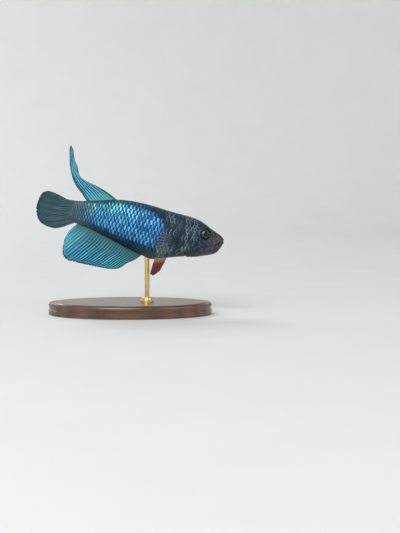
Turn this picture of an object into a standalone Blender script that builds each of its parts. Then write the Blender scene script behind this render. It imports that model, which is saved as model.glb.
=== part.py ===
"""A male betta, life size, on a plain display stand: a short rod over a flat oval base.

The fish is drawn in its own axes, with the snout tip at the origin, +X ahead, +Y to its left and +Z up.
An empty then pitches it head-down above the stand. The stand's base sits on Z = 0, under the middle of
the fish. All lengths are metres, and MM turns the sizes below into them.
"""

import math

import bmesh
import bpy
import numpy as np
from mathutils import Vector

MM = 0.001

# The pose: the whole fish tips head-down over the stand.
PITCH = math.radians(11.2)
SNOUT_X = 29.58 * MM
SNOUT_Z = 23.5 * MM

# The body.
STANDARD_LENGTH = 47.6 * MM  # from the snout to the root of the tail fin
# Each station: distance behind the snout, back, belly, half width and height of the widest point, in mm.
STATIONS = (
    (0.0, 0.55, -1.85, 0.95, -0.7),
    (0.6, 1.15, -3.1, 1.5, -0.8),
    (1.6, 1.7, -4.45, 1.95, -0.9),
    (3.2, 2.4, -5.3, 2.4, -0.9),
    (5.6, 3.6, -6.15, 2.95, -0.9),
    (8.2, 4.75, -6.95, 3.45, -1.1),
    (11.5, 5.4, -7.6, 3.95, -1.5),
    (15.5, 5.65, -8.55, 4.3, -1.9),
    (19.0, 5.9, -9.85, 4.4, -1.9),
    (22.0, 6.3, -10.3, 4.35, -1.6),
    (25.5, 6.6, -9.35, 4.15, -1.1),
    (30.0, 6.72, -8.2, 3.7, -0.6),
    (34.0, 6.45, -7.0, 3.1, -0.3),
    (38.0, 5.65, -5.8, 2.45, -0.1),
    (42.0, 4.7, -4.7, 1.8, 0.0),
    (46.0, 3.75, -3.95, 1.1, -0.1),
    (48.9, 3.1, -3.5, 0.45, -0.2),
)
BACK_ROUNDNESS = 2.15  # superellipse powers of the upper and lower half of a section
BELLY_ROUNDNESS = 1.85
SIDES = 24  # corners round a section
CUT = 0.2 * MM  # every thin cut and every gap between two pieces

# Where the body is parted: distance behind the snout at the back and belly, and how far the cut bows aft.
GILL_SLIT = (13.2 * MM, 1.3 * MM)
VENT = (25.6 * MM, 0.0)
TAIL_ROOT = (STANDARD_LENGTH, 1.1 * MM)

# The mouth: the jaw is what lies under the cleft and before the chin line.
CLEFT_START = (-1.0 * MM, 0.55 * MM)
CLEFT_END = (2.6 * MM, -2.35 * MM)
CHIN_END = (4.6 * MM, -7.5 * MM)

# The eyes.
EYE_CENTRE = (5.75 * MM, 2.1 * MM, 0.95 * MM)  # behind the snout, to the side, up
EYE_RADII = (1.95 * MM, 1.25 * MM, 1.95 * MM)

# The gill covers: oval plates let into the cheeks, laid out by distance behind the snout and angle round it.
COVER_CENTRE = (11.75 * MM, math.radians(-14))
COVER_HALF = (2.3 * MM, math.radians(47))
COVER_PROUD = 0.12 * MM
COVER_DEPTH = 0.7 * MM

# The fins.
FIN_THICK = 0.55 * MM
# Unpaired fins are patches between four edges, given in mm as distance behind the snout and height.
DORSAL_BASE = (35.2, 44.6)
DORSAL_LEADING = ((39.3, 8.0), (43.2, 9.25), (46.4, 10.15), (48.5, 11.3), (49.7, 13.9), (51.2, 16.3), (52.1, 19.0))
DORSAL_TRAILING = ((46.9, 6.0), (49.15, 8.1), (50.9, 10.75), (52.15, 13.9), (52.8, 16.4), (53.35, 19.2))
DORSAL_TIP = ((53.2, 20.4),)
ANAL_BASE = (24.4, 46.0)
ANAL_LEADING = ((26.6, -11.75), (28.6, -13.1), (30.2, -14.75), (31.8, -15.6))
ANAL_TRAILING = ((47.4, -4.95), (48.7, -6.9), (49.5, -9.3))
ANAL_MARGIN = ((33.7, -15.95), (38.0, -16.1), (43.0, -16.0), (47.2, -15.75), (49.0, -14.5), (49.6, -12.0))
CAUDAL_LEADING = ((50.4, 3.2), (52.8, 3.8), (55.4, 4.5), (57.4, 4.75))
CAUDAL_TRAILING = ((49.0, -4.6), (51.2, -5.9), (53.6, -6.6), (55.8, -6.4))
CAUDAL_MARGIN = ((58.9, 4.0), (59.9, 1.6), (60.15, -1.0), (59.5, -3.6), (58.0, -5.5))
# The soft fins wave from side to side towards their margins: height of the wave, its length and its start.
DORSAL_WAVE = (-0.5 * MM, 34 * MM, 0.5)
ANAL_WAVE = (0.55 * MM, 15 * MM, 1.2)
CAUDAL_WAVE = (0.7 * MM, 18 * MM, 0.6)

# Paired fins are fans of rays from a short root.
PECTORAL_ROOT = (14.9 * MM, -2.7 * MM, 2.5 * MM)  # behind the snout, upper end's height, length of the root
PECTORAL_SWEEP = math.radians(58)  # out from the body's side
PECTORAL_FAN = (math.radians(24), math.radians(-44))
PECTORAL_REACH = 7.6 * MM
PECTORAL_CUP = 1.0 * MM
PELVIC_ROOT = (16.2 * MM, 1.1 * MM, 4.0 * MM)  # behind the snout, to the side, length of the root
PELVIC_SPLAY = math.radians(13)
PELVIC_FAN = (math.radians(-73), math.radians(-85))
PELVIC_REACH = 5.8 * MM

# The stand.
BASE_HALF = (26.0 * MM, 17.0 * MM)
BASE_HEIGHT = 4.0 * MM
BASE_BEVEL = 0.8 * MM
BASE_CORNERS = 64
ROD_RADIUS = 0.75 * MM
ROD_BEHIND_SNOUT = 22.6 * MM
ROD_IN_BELLY = 2.5 * MM
COLLAR_RADIUS = 2.2 * MM
COLLAR_HEIGHT = 1.2 * MM

COLOURS = {
    "body": ((0.03, 0.16, 0.3, 1), 0.35, 0.3),
    "head": ((0.02, 0.035, 0.055, 1), 0.4, 0.1),
    "fin": ((0.03, 0.3, 0.38, 1), 0.4, 0.2),
    "pectoral": ((0.05, 0.07, 0.08, 1), 0.4, 0.0),
    "pelvic": ((0.3, 0.02, 0.02, 1), 0.45, 0.0),
    "eye": ((0.01, 0.02, 0.025, 1), 0.1, 0.0),
    "base": ((0.035, 0.022, 0.016, 1), 0.45, 0.0),
    "metal": ((0.62, 0.47, 0.25, 1), 0.3, 1.0),
}


def clear_scene():
    for old in list(bpy.data.objects):
        bpy.data.objects.remove(old)


def material(name):
    """A plain Principled material in one of the part's colours."""
    found = bpy.data.materials.get(name)
    if found:
        return found
    colour, roughness, metallic = COLOURS[name]
    made = bpy.data.materials.new(name)
    made.use_nodes = True
    shader = made.node_tree.nodes["Principled BSDF"]
    shader.inputs["Base Color"].default_value = colour
    shader.inputs["Roughness"].default_value = roughness
    shader.inputs["Metallic"].default_value = metallic
    made.diffuse_color = colour
    return made


def add_piece(name, points, faces, finish, parent=None):
    """A named, smooth-shaded object from points and faces, with its faces turned outwards."""
    mesh = bpy.data.meshes.new(name)
    mesh.from_pydata([tuple(p) for p in points], [], faces)
    shape = bmesh.new()
    shape.from_mesh(mesh)
    bmesh.ops.recalc_face_normals(shape, faces=shape.faces)
    shape.to_mesh(mesh)
    shape.free()
    mesh.materials.append(material(finish))
    mesh.shade_smooth()
    mesh.set_sharp_from_angle(angle=math.radians(40))
    piece = bpy.data.objects.new(name, mesh)
    bpy.context.scene.collection.objects.link(piece)
    piece.parent = parent
    return piece


def hide_cutter(piece):
    """Mark a helper that only cuts: it shows as a wire and is no part of the object."""
    piece.hide_render = True
    piece.display_type = "WIRE"
    return piece


def cutter(name, points, faces, parent):
    return hide_cutter(add_piece(name, points, faces, "body", parent))


def boolean(piece, other, operation):
    cut = piece.modifiers.new(operation.title(), "BOOLEAN")
    cut.operation = operation
    cut.object = other
    cut.solver = "EXACT"


def smooth_through(knots, values, at):
    """A smooth curve through values at rising knots, with no overshoot between them."""
    knots, values = np.asarray(knots, float), np.asarray(values, float)
    steps = np.diff(knots)
    slopes = np.diff(values) / steps
    turns = np.zeros(len(knots))
    inner = slopes[:-1] * slopes[1:] > 0
    weights = 2 * steps[1:] + steps[:-1], steps[1:] + 2 * steps[:-1]
    with np.errstate(divide="ignore", invalid="ignore"):
        mean = (weights[0] + weights[1]) / (weights[0] / slopes[:-1] + weights[1] / slopes[1:])
    turns[1:-1] = np.where(inner, mean, 0)
    turns[0], turns[-1] = slopes[0], slopes[-1]
    at = np.clip(at, knots[0], knots[-1])
    cell = np.clip(np.searchsorted(knots, at) - 1, 0, len(steps) - 1)
    part = (at - knots[cell]) / steps[cell]
    rise = part * part * (3 - 2 * part)
    bend_in = part * (1 - part) ** 2 * steps[cell] * turns[cell]
    bend_out = part**2 * (part - 1) * steps[cell] * turns[cell + 1]
    return values[cell] * (1 - rise) + values[cell + 1] * rise + bend_in + bend_out


def body_size(column, behind):
    """One column of STATIONS, in metres, at a distance behind the snout."""
    table = np.array(STATIONS) * MM
    return smooth_through(table[:, 0], table[:, column], behind)


def body_point(behind, angle, inset=0.0):
    """A point of the body's surface: angle 0 is its left side, 90 degrees its back. inset goes inwards."""
    back, belly, half_width, middle = (body_size(column, behind) for column in (1, 2, 3, 4))
    side, rise = math.cos(angle), math.sin(angle)
    power = 2 / (BACK_ROUNDNESS if rise > 0 else BELLY_ROUNDNESS)
    reach = (back - middle) if rise > 0 else (middle - belly)
    across = (half_width - inset) * math.copysign(abs(side) ** power, side)
    up = middle + (reach - inset) * math.copysign(abs(rise) ** power, rise)
    return np.array((-behind, across, up))


def cut_line(cut, angle):
    """How far behind the snout a cut runs at an angle round the section."""
    start, bow = cut
    return start + bow * math.cos(angle) ** 2


def body_length(name, front, rear, rings, finish, parent):
    """A length of the body between two cuts, closed by caps that follow them."""
    angles = [math.tau * (k + 0.5) / SIDES for k in range(SIDES)]
    points = []
    for ring in range(rings + 1):
        share = ring / rings
        for angle in angles:
            behind = (1 - share) * cut_line(front, angle) + share * cut_line(rear, angle)
            points.append(body_point(behind, angle))
    faces = []
    for ring in range(rings):
        for k in range(SIDES):
            a, b = ring * SIDES + k, ring * SIDES + (k + 1) % SIDES
            faces.append((a, b, b + SIDES, a + SIDES))
    quarter = SIDES // 4
    for start in (0, rings * SIDES):
        # Each rung of a cap joins a corner to the one across the body at the same height.
        rungs = [(start + (quarter - 1 - k) % SIDES, start + (quarter + k) % SIDES) for k in range(SIDES // 2)]
        for (a, b), (c, d) in zip(rungs, rungs[1:]):
            faces.append((a, b, d, c))
    return add_piece(name, points, faces, finish, parent)


def prism(name, outline, half_width, parent):
    """An upright slab across the body with a side-view outline of (behind, up) points."""
    count = len(outline)
    points = [(-behind, side, up) for side in (-half_width, half_width) for behind, up in outline]
    faces = [tuple(range(count)), tuple(range(count, 2 * count))]
    faces += [(k, (k + 1) % count, (k + 1) % count + count, k + count) for k in range(count)]
    return cutter(name, points, faces, parent)


def jaw_outline(gap):
    """The side view of the jaw's slab, grown by gap beyond the cleft and the chin line."""
    start, end = np.array(CLEFT_START), np.array(CLEFT_END)
    chin = np.array(CHIN_END)
    along = (end - start) / np.linalg.norm(end - start)
    down = (chin - end) / np.linalg.norm(chin - end)
    over_cleft = gap * np.array((-along[1], along[0]))
    past_chin = gap * np.array((-down[1], down[0]))
    below = -12 * MM
    return [start + over_cleft, end + over_cleft + past_chin, chin + past_chin, (chin[0], below), (start[0], below)]


def cover_patch(side, grow, proud, depth):
    """Points and faces of a gill cover, grown at its rim by grow, from proud of the cheek to depth in it."""
    rings, spokes = 4, 24
    half_length, half_angle = COVER_HALF[0] + grow, COVER_HALF[1] + grow / (4 * MM)
    points, faces = [], []
    for layer in (proud, -depth):
        hub = len(points)
        points.append(body_point(*COVER_CENTRE, -layer) * (1, side, 1))
        for ring in range(1, rings + 1):
            for k in range(spokes):
                turn = math.tau * k / spokes
                behind = COVER_CENTRE[0] + half_length * ring / rings * math.cos(turn)
                angle = COVER_CENTRE[1] + half_angle * ring / rings * math.sin(turn)
                points.append(body_point(behind, angle, -layer) * (1, side, 1))
        for k in range(spokes):
            following = (k + 1) % spokes
            faces.append((hub, hub + 1 + k, hub + 1 + following))
            for ring in range(rings - 1):
                a, b = hub + 1 + ring * spokes + k, hub + 1 + ring * spokes + following
                faces.append((a, b, b + spokes, a + spokes))
    outer = len(points) // 2 - spokes
    inner = len(points) - spokes
    for k in range(spokes):
        following = (k + 1) % spokes
        faces.append((outer + k, outer + following, inner + following, inner + k))
    return points, faces


def ellipsoid(radii, segments=20, rings=10):
    """Points and faces of a closed ellipsoid whose poles are on Y."""
    points = [(0, -radii[1], 0)]
    for ring in range(1, rings):
        tilt = math.pi * ring / rings
        for k in range(segments):
            turn = math.tau * k / segments
            spot = (math.sin(tilt) * math.cos(turn), -math.cos(tilt), math.sin(tilt) * math.sin(turn))
            points.append(np.array(spot) * radii)
    points.append((0, radii[1], 0))
    last = len(points) - 1
    faces = []
    for k in range(segments):
        following = (k + 1) % segments
        faces.append((0, 1 + k, 1 + following))
        faces.append((last, last - segments + k, last - segments + following))
        for ring in range(rings - 2):
            a, b = 1 + ring * segments + k, 1 + ring * segments + following
            faces.append((a, b, b + segments, a + segments))
    return points, faces


def head(parent):
    """The head with its jaw, gill covers and eyes, each fitted to the others with thin cuts."""
    skull = body_length("head", (0.0, 0.0), (GILL_SLIT[0] - CUT, GILL_SLIT[1]), 13, "head", parent)
    jaw = body_length("lower_jaw", (0.0, 0.0), (6.0 * MM, 0.0), 6, "head", parent)
    boolean(jaw, prism("jaw_slab", jaw_outline(0.0), 5 * MM, parent), "INTERSECT")
    boolean(skull, prism("jaw_room", jaw_outline(CUT), 5 * MM, parent), "DIFFERENCE")
    for side, word in ((1, "left"), (-1, "right")):
        points, faces = cover_patch(side, 0.0, COVER_PROUD, COVER_DEPTH)
        add_piece(f"gill_cover_{word}", points, faces, "head", parent)
        points, faces = cover_patch(side, CUT, 3 * MM, COVER_DEPTH + CUT)
        boolean(skull, cutter(f"cover_room_{word}", points, faces, parent), "DIFFERENCE")
        place = np.array((-EYE_CENTRE[0], side * EYE_CENTRE[1], EYE_CENTRE[2]))
        points, faces = ellipsoid(np.array(EYE_RADII))
        eye = add_piece(f"eye_{word}", points, faces, "eye", parent)
        eye.location = place
        points, faces = ellipsoid(np.array(EYE_RADII) + CUT)
        socket = cutter(f"eye_room_{word}", points, faces, parent)
        socket.location = place
        boolean(skull, socket, "DIFFERENCE")


def curve_through(points, count):
    """count + 1 points evenly spaced along a smooth curve through the given ones."""
    points = np.asarray(points, float)
    knots = np.concatenate([[0], np.cumsum(np.linalg.norm(np.diff(points, axis=0), axis=1))])
    fine = np.linspace(0, knots[-1], 40 * len(points))
    dense = np.stack([smooth_through(knots, points[:, k], fine) for k in range(points.shape[1])], axis=1)
    travelled = np.concatenate([[0], np.cumsum(np.linalg.norm(np.diff(dense, axis=0), axis=1))])
    wanted = np.linspace(0, travelled[-1], count + 1)
    return np.stack([np.interp(wanted, travelled, dense[:, k]) for k in range(points.shape[1])], axis=1)


def patch_between(base, margin, leading, trailing):
    """A grid of points that meets four edges: grid[i, j] is ray i, step j along it."""
    rays, steps = len(base), len(leading)
    across = np.linspace(0, 1, rays)[:, None, None]
    along = np.linspace(0, 1, steps)[None, :, None]
    ruled = (1 - along) * base[:, None] + along * margin[:, None]
    ruled = ruled + (1 - across) * leading[None] + across * trailing[None]
    corners = (1 - across) * ((1 - along) * base[0] + along * margin[0])
    corners = corners + across * ((1 - along) * base[-1] + along * margin[-1])
    return ruled - corners


def plate(name, grid, normals, finish, parent):
    """A closed plate, FIN_THICK thick, about a grid of middle points."""
    rays, steps = grid.shape[:2]
    half = FIN_THICK / 2
    points = [p for sign in (1, -1) for p in (grid + sign * half * normals).reshape(-1, 3)]
    size = rays * steps
    faces = []
    for start in (0, size):
        for i in range(rays - 1):
            for j in range(steps - 1):
                a = start + i * steps + j
                faces.append((a, a + 1, a + steps + 1, a + steps))
    rim = [j for j in range(steps)]
    rim += [i * steps + steps - 1 for i in range(1, rays)]
    rim += [(rays - 1) * steps + j for j in range(steps - 2, -1, -1)]
    rim += [i * steps for i in range(rays - 2, 0, -1)]
    for a, b in zip(rim, rim[1:] + rim[:1]):
        faces.append((a, b, b + size, a + size))
    return add_piece(name, points, faces, finish, parent)


def upright_fin(name, base, margin, leading, trailing, rays, steps, wave, parent):
    """An unpaired fin in the body's middle plane, waving to its margin. Edges are (behind, up) points."""
    leading = curve_through([base[0], *leading], steps)
    trailing = curve_through([base[-1], *trailing], steps)
    margin = curve_through([leading[-1], *margin, trailing[-1]], rays)
    flat = patch_between(curve_through(base, rays), margin, leading, trailing)
    height, length, start = wave
    behind, up = flat[..., 0], flat[..., 1]
    out = np.linspace(0, 1, steps + 1)[None, :] ** 2
    sway = height * out * np.sin(math.tau * (behind - base[0][0]) / length + start)
    grid = np.stack([-behind, sway, up], axis=-1)
    return plate(name, grid, np.array((0.0, 1.0, 0.0)), "fin", parent)


def upright_fins(parent):
    """The dorsal, anal and tail fins, whose bases follow the body with a thin gap."""
    dorsal = [(t, body_size(1, t) + CUT) for t in np.linspace(*DORSAL_BASE, 7) * MM]
    anal = [(t, body_size(2, t) - CUT) for t in np.linspace(*ANAL_BASE, 9) * MM]
    tail = []
    for angle in np.radians(np.linspace(84, -84, 9)):
        behind = cut_line(TAIL_ROOT, angle)
        tail.append((behind + CUT, body_point(behind, angle)[2]))
    in_metres = [np.array(edge) * MM for edge in (DORSAL_TIP, DORSAL_LEADING, DORSAL_TRAILING)]
    upright_fin("dorsal_fin", dorsal, *in_metres, 10, 17, DORSAL_WAVE, parent)
    in_metres = [np.array(edge) * MM for edge in (ANAL_MARGIN, ANAL_LEADING, ANAL_TRAILING)]
    upright_fin("anal_fin", anal, *in_metres, 24, 9, ANAL_WAVE, parent)
    in_metres = [np.array(edge) * MM for edge in (CAUDAL_MARGIN, CAUDAL_LEADING, CAUDAL_TRAILING)]
    upright_fin("caudal_fin", tail, *in_metres, 16, 9, CAUDAL_WAVE, parent)


def fan(root_top, root_way, outward, fan_angles, reach, roundness, cup, rays, steps):
    """Grid and normals of a fan of rays: outward is the way it points, and cup bends its tips aft."""
    up = np.array((0.0, 0.0, 1.0))
    grid = np.zeros((rays + 1, steps + 1, 3))
    for i in range(rays + 1):
        share = i / rays
        angle = fan_angles[0] + (fan_angles[1] - fan_angles[0]) * share
        length = reach * (1 - roundness + roundness * math.sin(math.pi * share))
        way = outward * math.cos(angle) + up * math.sin(angle)
        for j in range(steps + 1):
            along = j / steps
            bend = np.array((-cup * along**2, 0.0, 0.0))
            grid[i, j] = root_top + root_way * share + way * length * along + bend
    first = np.gradient(grid, axis=0)
    second = np.gradient(grid, axis=1)
    normals = np.cross(first, second)
    return grid, normals / np.linalg.norm(normals, axis=-1, keepdims=True)


def side_of_body(behind, up):
    """The body's half width at a height."""
    angles = np.radians(np.linspace(-88, 88, 177))
    spots = np.array([body_point(behind, angle) for angle in angles])
    return np.interp(up, spots[:, 2], spots[:, 1])


def paired_fins(parent):
    """The pectoral fins, held out from the sides, and the pelvic fins under the breast."""
    for side, word in ((1, "left"), (-1, "right")):
        behind, top, root = PECTORAL_ROOT
        flank = max(side_of_body(behind, top - root * share) for share in (0, 0.5, 1))
        start = np.array((-behind, side * (flank + CUT + FIN_THICK / 2), top))
        outward = np.array((-math.cos(PECTORAL_SWEEP), side * math.sin(PECTORAL_SWEEP), 0))
        down = np.array((-0.25 * root, 0, -root))
        shape = fan(start, down, outward, PECTORAL_FAN, PECTORAL_REACH, 0.3, PECTORAL_CUP, 10, 6)
        plate(f"pectoral_fin_{word}", *shape, "pectoral", parent)
        behind, aside, root = PELVIC_ROOT
        start = np.array((-behind, side * aside, body_size(2, behind) - CUT))
        aft = np.array((-root, 0, body_size(2, behind + root) - body_size(2, behind)))
        grid, normals = fan(start, aft, np.array((-1.0, 0, 0)), PELVIC_FAN, PELVIC_REACH, 0.14, 0.0, 6, 8)
        drop = start[2] - grid[..., 2]
        grid[..., 1] += side * math.tan(PELVIC_SPLAY) * drop
        plate(f"pelvic_fin_{word}", grid, normals, "pelvic", parent)


def turned(name, profile, corners, finish, narrow=1.0):
    """A closed solid about Z from (radius, height) pairs, bottom to top, narrowed along Y."""
    points = []
    for radius, height in profile:
        for k in range(corners):
            turn = math.tau * k / corners
            points.append((radius * math.cos(turn), radius * narrow * math.sin(turn), height))
    faces = [tuple(range(corners)), tuple(range(len(points) - corners, len(points)))]
    for ring in range(len(profile) - 1):
        for k in range(corners):
            a, b = ring * corners + k, ring * corners + (k + 1) % corners
            faces.append((a, b, b + corners, a + corners))
    return add_piece(name, points, faces, finish)


def stand(parent, trunk):
    """The oval base, the rod into the belly, and the collar where the rod leaves the base."""
    half_x, half_y = BASE_HALF
    inner = half_x - BASE_BEVEL
    foot = 0.3 * MM
    base_profile = [(half_x - foot, 0), (half_x, foot), (half_x, BASE_HEIGHT - BASE_BEVEL)]
    for step in range(1, 5):
        turn = math.pi / 2 * step / 4
        base_profile.append((inner + BASE_BEVEL * math.cos(turn), BASE_HEIGHT - BASE_BEVEL * (1 - math.sin(turn))))
    turned("stand_base", base_profile, BASE_CORNERS, "base", half_y / half_x)
    belly = parent.matrix_world @ Vector((-ROD_BEHIND_SNOUT, 0, body_size(2, ROD_BEHIND_SNOUT)))
    low = BASE_HEIGHT + CUT
    top = belly.z + ROD_IN_BELLY
    rod = turned("stand_rod", [(ROD_RADIUS, low), (ROD_RADIUS, top)], 20, "metal")
    rod.location.x = belly.x
    bore = ROD_RADIUS + CUT
    hole = turned("rod_hole", [(bore, low), (bore, top + CUT)], 20, "metal")
    hole.location.x = belly.x
    hide_cutter(hole)
    boolean(trunk, hole, "DIFFERENCE")
    outline = [(bore, low), (COLLAR_RADIUS, low), (COLLAR_RADIUS, low + COLLAR_HEIGHT * 0.6)]
    outline += [(COLLAR_RADIUS * 0.8, low + COLLAR_HEIGHT), (bore, low + COLLAR_HEIGHT)]
    collar = ring("stand_collar", outline, 28, "metal")
    collar.location.x = belly.x


def ring(name, profile, corners, finish):
    """A closed ring about Z from an outline of (radius, height) pairs."""
    count = len(profile)
    points = []
    for k in range(corners):
        turn = math.tau * k / corners
        points += [(radius * math.cos(turn), radius * math.sin(turn), height) for radius, height in profile]
    faces = []
    for k in range(corners):
        here, following = k * count, (k + 1) % corners * count
        for j in range(count):
            after = (j + 1) % count
            faces.append((here + j, here + after, following + after, following + j))
    return add_piece(name, points, faces, finish)


def main():
    clear_scene()
    fish = bpy.data.objects.new("fish", None)
    bpy.context.scene.collection.objects.link(fish)
    fish.location = (SNOUT_X, 0, SNOUT_Z)
    fish.rotation_euler = (0, PITCH, 0)
    bpy.context.view_layer.update()
    head(fish)
    trunk = body_length("trunk", GILL_SLIT, (VENT[0] - CUT, VENT[1]), 10, "body", fish)
    body_length("tail", VENT, TAIL_ROOT, 16, "body", fish)
    upright_fins(fish)
    paired_fins(fish)
    stand(fish, trunk)


main()
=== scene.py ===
"""The looks of a male betta on its display stand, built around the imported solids.

The fish is shaped in its own axes, in millimetres: x ahead of the snout, y to its left, z up. Most of it is
laid out by "behind", the distance behind the snout, and by a turn round the body or a share of a fin.
to_world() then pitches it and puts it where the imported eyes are, in metres.
"""

import math
from functools import partialmethod

import bmesh
import bpy
import numpy as np
from mathutils import Matrix, Vector


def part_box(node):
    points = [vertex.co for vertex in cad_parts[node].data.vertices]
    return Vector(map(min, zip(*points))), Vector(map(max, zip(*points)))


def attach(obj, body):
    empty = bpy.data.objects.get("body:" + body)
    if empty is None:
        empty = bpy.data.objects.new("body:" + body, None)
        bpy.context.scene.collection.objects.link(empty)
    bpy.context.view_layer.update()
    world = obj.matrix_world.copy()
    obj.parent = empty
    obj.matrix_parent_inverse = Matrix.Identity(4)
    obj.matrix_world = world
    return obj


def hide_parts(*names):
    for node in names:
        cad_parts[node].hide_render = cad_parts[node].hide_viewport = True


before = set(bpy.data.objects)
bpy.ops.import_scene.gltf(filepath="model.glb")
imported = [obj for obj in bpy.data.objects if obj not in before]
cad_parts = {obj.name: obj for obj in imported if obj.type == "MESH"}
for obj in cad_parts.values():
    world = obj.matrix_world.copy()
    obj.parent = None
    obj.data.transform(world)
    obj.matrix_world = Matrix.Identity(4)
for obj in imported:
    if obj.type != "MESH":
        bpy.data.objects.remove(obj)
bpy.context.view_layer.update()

MM = 0.001
SEED = 7
SIDES = ((1, "left"), (-1, "right"))  # the sign of y, and the word in names

# The pose and the body's stations, as the solids have them, with a nose tip and a thin tail end added.
PITCH = math.radians(11.2)
EYE_CENTRE = (5.75, 2.1, 0.95)  # behind the snout, to the side, up
EYE_RADII = (1.95, 1.25)  # across the eye, and along its axis
EYE_FORWARD, EYE_UPWARD = math.radians(9), math.radians(7)  # how far the eye's axis leans from square
NOSE = 0.25  # how far the rounded nose stands ahead of the snout's first section
# Each station: distance behind the snout, back, belly, half width and height of the widest point.
STATIONS = (
    (-NOSE, -0.75, -0.75, 0.0, -0.75),
    (0.0, 0.55, -1.85, 0.95, -0.7),
    (0.6, 1.15, -3.1, 1.5, -0.8),
    (1.6, 1.7, -4.45, 1.95, -0.9),
    (3.2, 2.4, -5.3, 2.4, -0.9),
    (5.6, 3.6, -6.15, 2.95, -0.9),
    (8.2, 4.75, -6.95, 3.45, -1.1),
    (11.5, 5.4, -7.6, 3.95, -1.5),
    (15.5, 5.65, -8.55, 4.3, -1.9),
    (19.0, 5.9, -9.85, 4.4, -1.9),
    (22.0, 6.3, -10.3, 4.35, -1.6),
    (25.5, 6.6, -9.35, 4.15, -1.1),
    (30.0, 6.72, -8.2, 3.7, -0.6),
    (34.0, 6.45, -7.0, 3.1, -0.3),
    (38.0, 5.65, -5.8, 2.45, -0.1),
    (42.0, 4.7, -4.7, 1.8, 0.0),
    (46.0, 3.75, -3.95, 1.1, -0.1),
    (48.9, 3.1, -3.5, 0.45, -0.2),
    (50.4, 2.85, -3.35, 0.16, -0.2),
)
BACK, BELLY, HALF_WIDTH, WIDEST = 1, 2, 3, 4  # the columns of STATIONS
BACK_ROUNDNESS, BELLY_ROUNDNESS = 2.15, 1.85  # 2 is an ellipse, and more is squarer
NOSE_BLUNTNESS = 0.4  # the power by which the sections open behind the nose tip

# The skin.
RINGS_HEAD, RINGS_BODY = 250, 84
HEAD_END, BODY_END = 16.0, 48.5
TAIL_BOW = 1.3  # how far the root of the tail fin bows aft at mid height
ROUND = 272  # points round the body
COAT = 0.1  # depth of the scales over the skin
UNWRAP_LENGTH = 52.0  # the length of fish that one unit of the unwrap's u spans
OFF_THE_UNWRAP = (-0.2, 0)

# The scales.
SCALE_PITCH, ROW_PITCH = 1.22, 1.4
FIRST_SCALE, LAST_SCALE = 4.2, 49.0
BAKE_PATCH = 0.0036  # a scale's width on its bake map


def srgb(red, green, blue):
    """A colour given in 0 to 255 display values, as linear light."""
    parts = []
    for value in (red, green, blue):
        share = value / 255
        parts.append(share / 12.92 if share <= 0.04045 else ((share + 0.055) / 1.055) ** 2.4)
    return (*parts, 1.0)


# ---- Curves and grids ----


def rise(value, low, high):
    """0 below low, 1 above high, and a smooth step between."""
    share = np.clip((value - low) / (high - low), 0, 1)
    return share * share * (3 - 2 * share)


def bump(value, centre, width):
    """A smooth hump, 1 high at its centre."""
    return np.exp(-(((value - centre) / width) ** 2))


def unit(vectors):
    return vectors / np.maximum(np.linalg.norm(vectors, axis=-1, keepdims=True), 1e-12)


def run_of(points):
    """The length along a line of points, from 0 at the first."""
    return np.concatenate([[0], np.cumsum(np.linalg.norm(np.diff(points, axis=0), axis=1))])


def smooth_through(knots, values, at):
    """A smooth curve through values at rising knots, with no overshoot between them."""
    knots, values = np.asarray(knots, float), np.asarray(values, float)
    steps = np.diff(knots)
    slopes = np.diff(values) / steps
    turns = np.zeros(len(knots))
    inner = slopes[:-1] * slopes[1:] > 0
    weights = 2 * steps[1:] + steps[:-1], steps[1:] + 2 * steps[:-1]
    with np.errstate(divide="ignore", invalid="ignore"):
        mean = (weights[0] + weights[1]) / (weights[0] / slopes[:-1] + weights[1] / slopes[1:])
    turns[1:-1] = np.where(inner, mean, 0)
    turns[0], turns[-1] = slopes[0], slopes[-1]
    at = np.clip(at, knots[0], knots[-1])
    cell = np.clip(np.searchsorted(knots, at) - 1, 0, len(steps) - 1)
    part = (at - knots[cell]) / steps[cell]
    share = part * part * (3 - 2 * part)
    bend_in = part * (1 - part) ** 2 * steps[cell] * turns[cell]
    bend_out = part**2 * (part - 1) * steps[cell] * turns[cell + 1]
    return values[cell] * (1 - share) + values[cell + 1] * share + bend_in + bend_out


def curve_through(points, count):
    """count + 1 points evenly spaced along a smooth curve through the given ones."""
    points = np.asarray(points, float)
    knots = run_of(points)
    fine = np.linspace(0, knots[-1], 40 * len(points))
    dense = np.stack([smooth_through(knots, column, fine) for column in points.T], axis=1)
    travelled = run_of(dense)
    wanted = np.linspace(0, travelled[-1], count + 1)
    return np.stack([np.interp(wanted, travelled, column) for column in dense.T], axis=1)


def patch_between(base, margin, leading, trailing):
    """A function from (share across, share out) to points of the patch that meets four edges."""

    def along(edge, share):
        steps = np.linspace(0, 1, len(edge))
        return np.stack([np.interp(share, steps, column) for column in edge.T], axis=-1)

    def place(across, out):
        root, tip = along(base, across), along(margin, across)
        front, aft = along(leading, out), along(trailing, out)
        across, out = across[..., None], out[..., None]
        front = front - (1 - out) * base[0] - out * margin[0]
        aft = aft - (1 - out) * base[-1] - out * margin[-1]
        return (1 - out) * root + out * tip + (1 - across) * front + across * aft

    return place


# ---- The body's surface ----


def warped(behind):
    """A length that is stretched near the nose, where the sections open quickly."""
    return np.maximum(behind + NOSE, 0) ** NOSE_BLUNTNESS


def body_table():
    """STATIONS' columns on a fine scale of warped(), smoothed so that no highlight shows a station."""
    samples, blur = 1600, 16
    table = np.array(STATIONS)
    at = np.linspace(0, warped(table[-1, 0]), samples)
    weights = np.exp(-0.5 * (np.arange(-3 * blur, 3 * blur + 1) / blur) ** 2)
    columns = [at]
    for column in table.T[1:]:
        fine = smooth_through(warped(table[:, 0]), column, at)
        padded = np.pad(fine, 3 * blur, mode="reflect", reflect_type="odd")
        columns.append(np.convolve(padded, weights / weights.sum(), mode="valid"))
    return np.array(columns)


TABLE = body_table()


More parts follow.
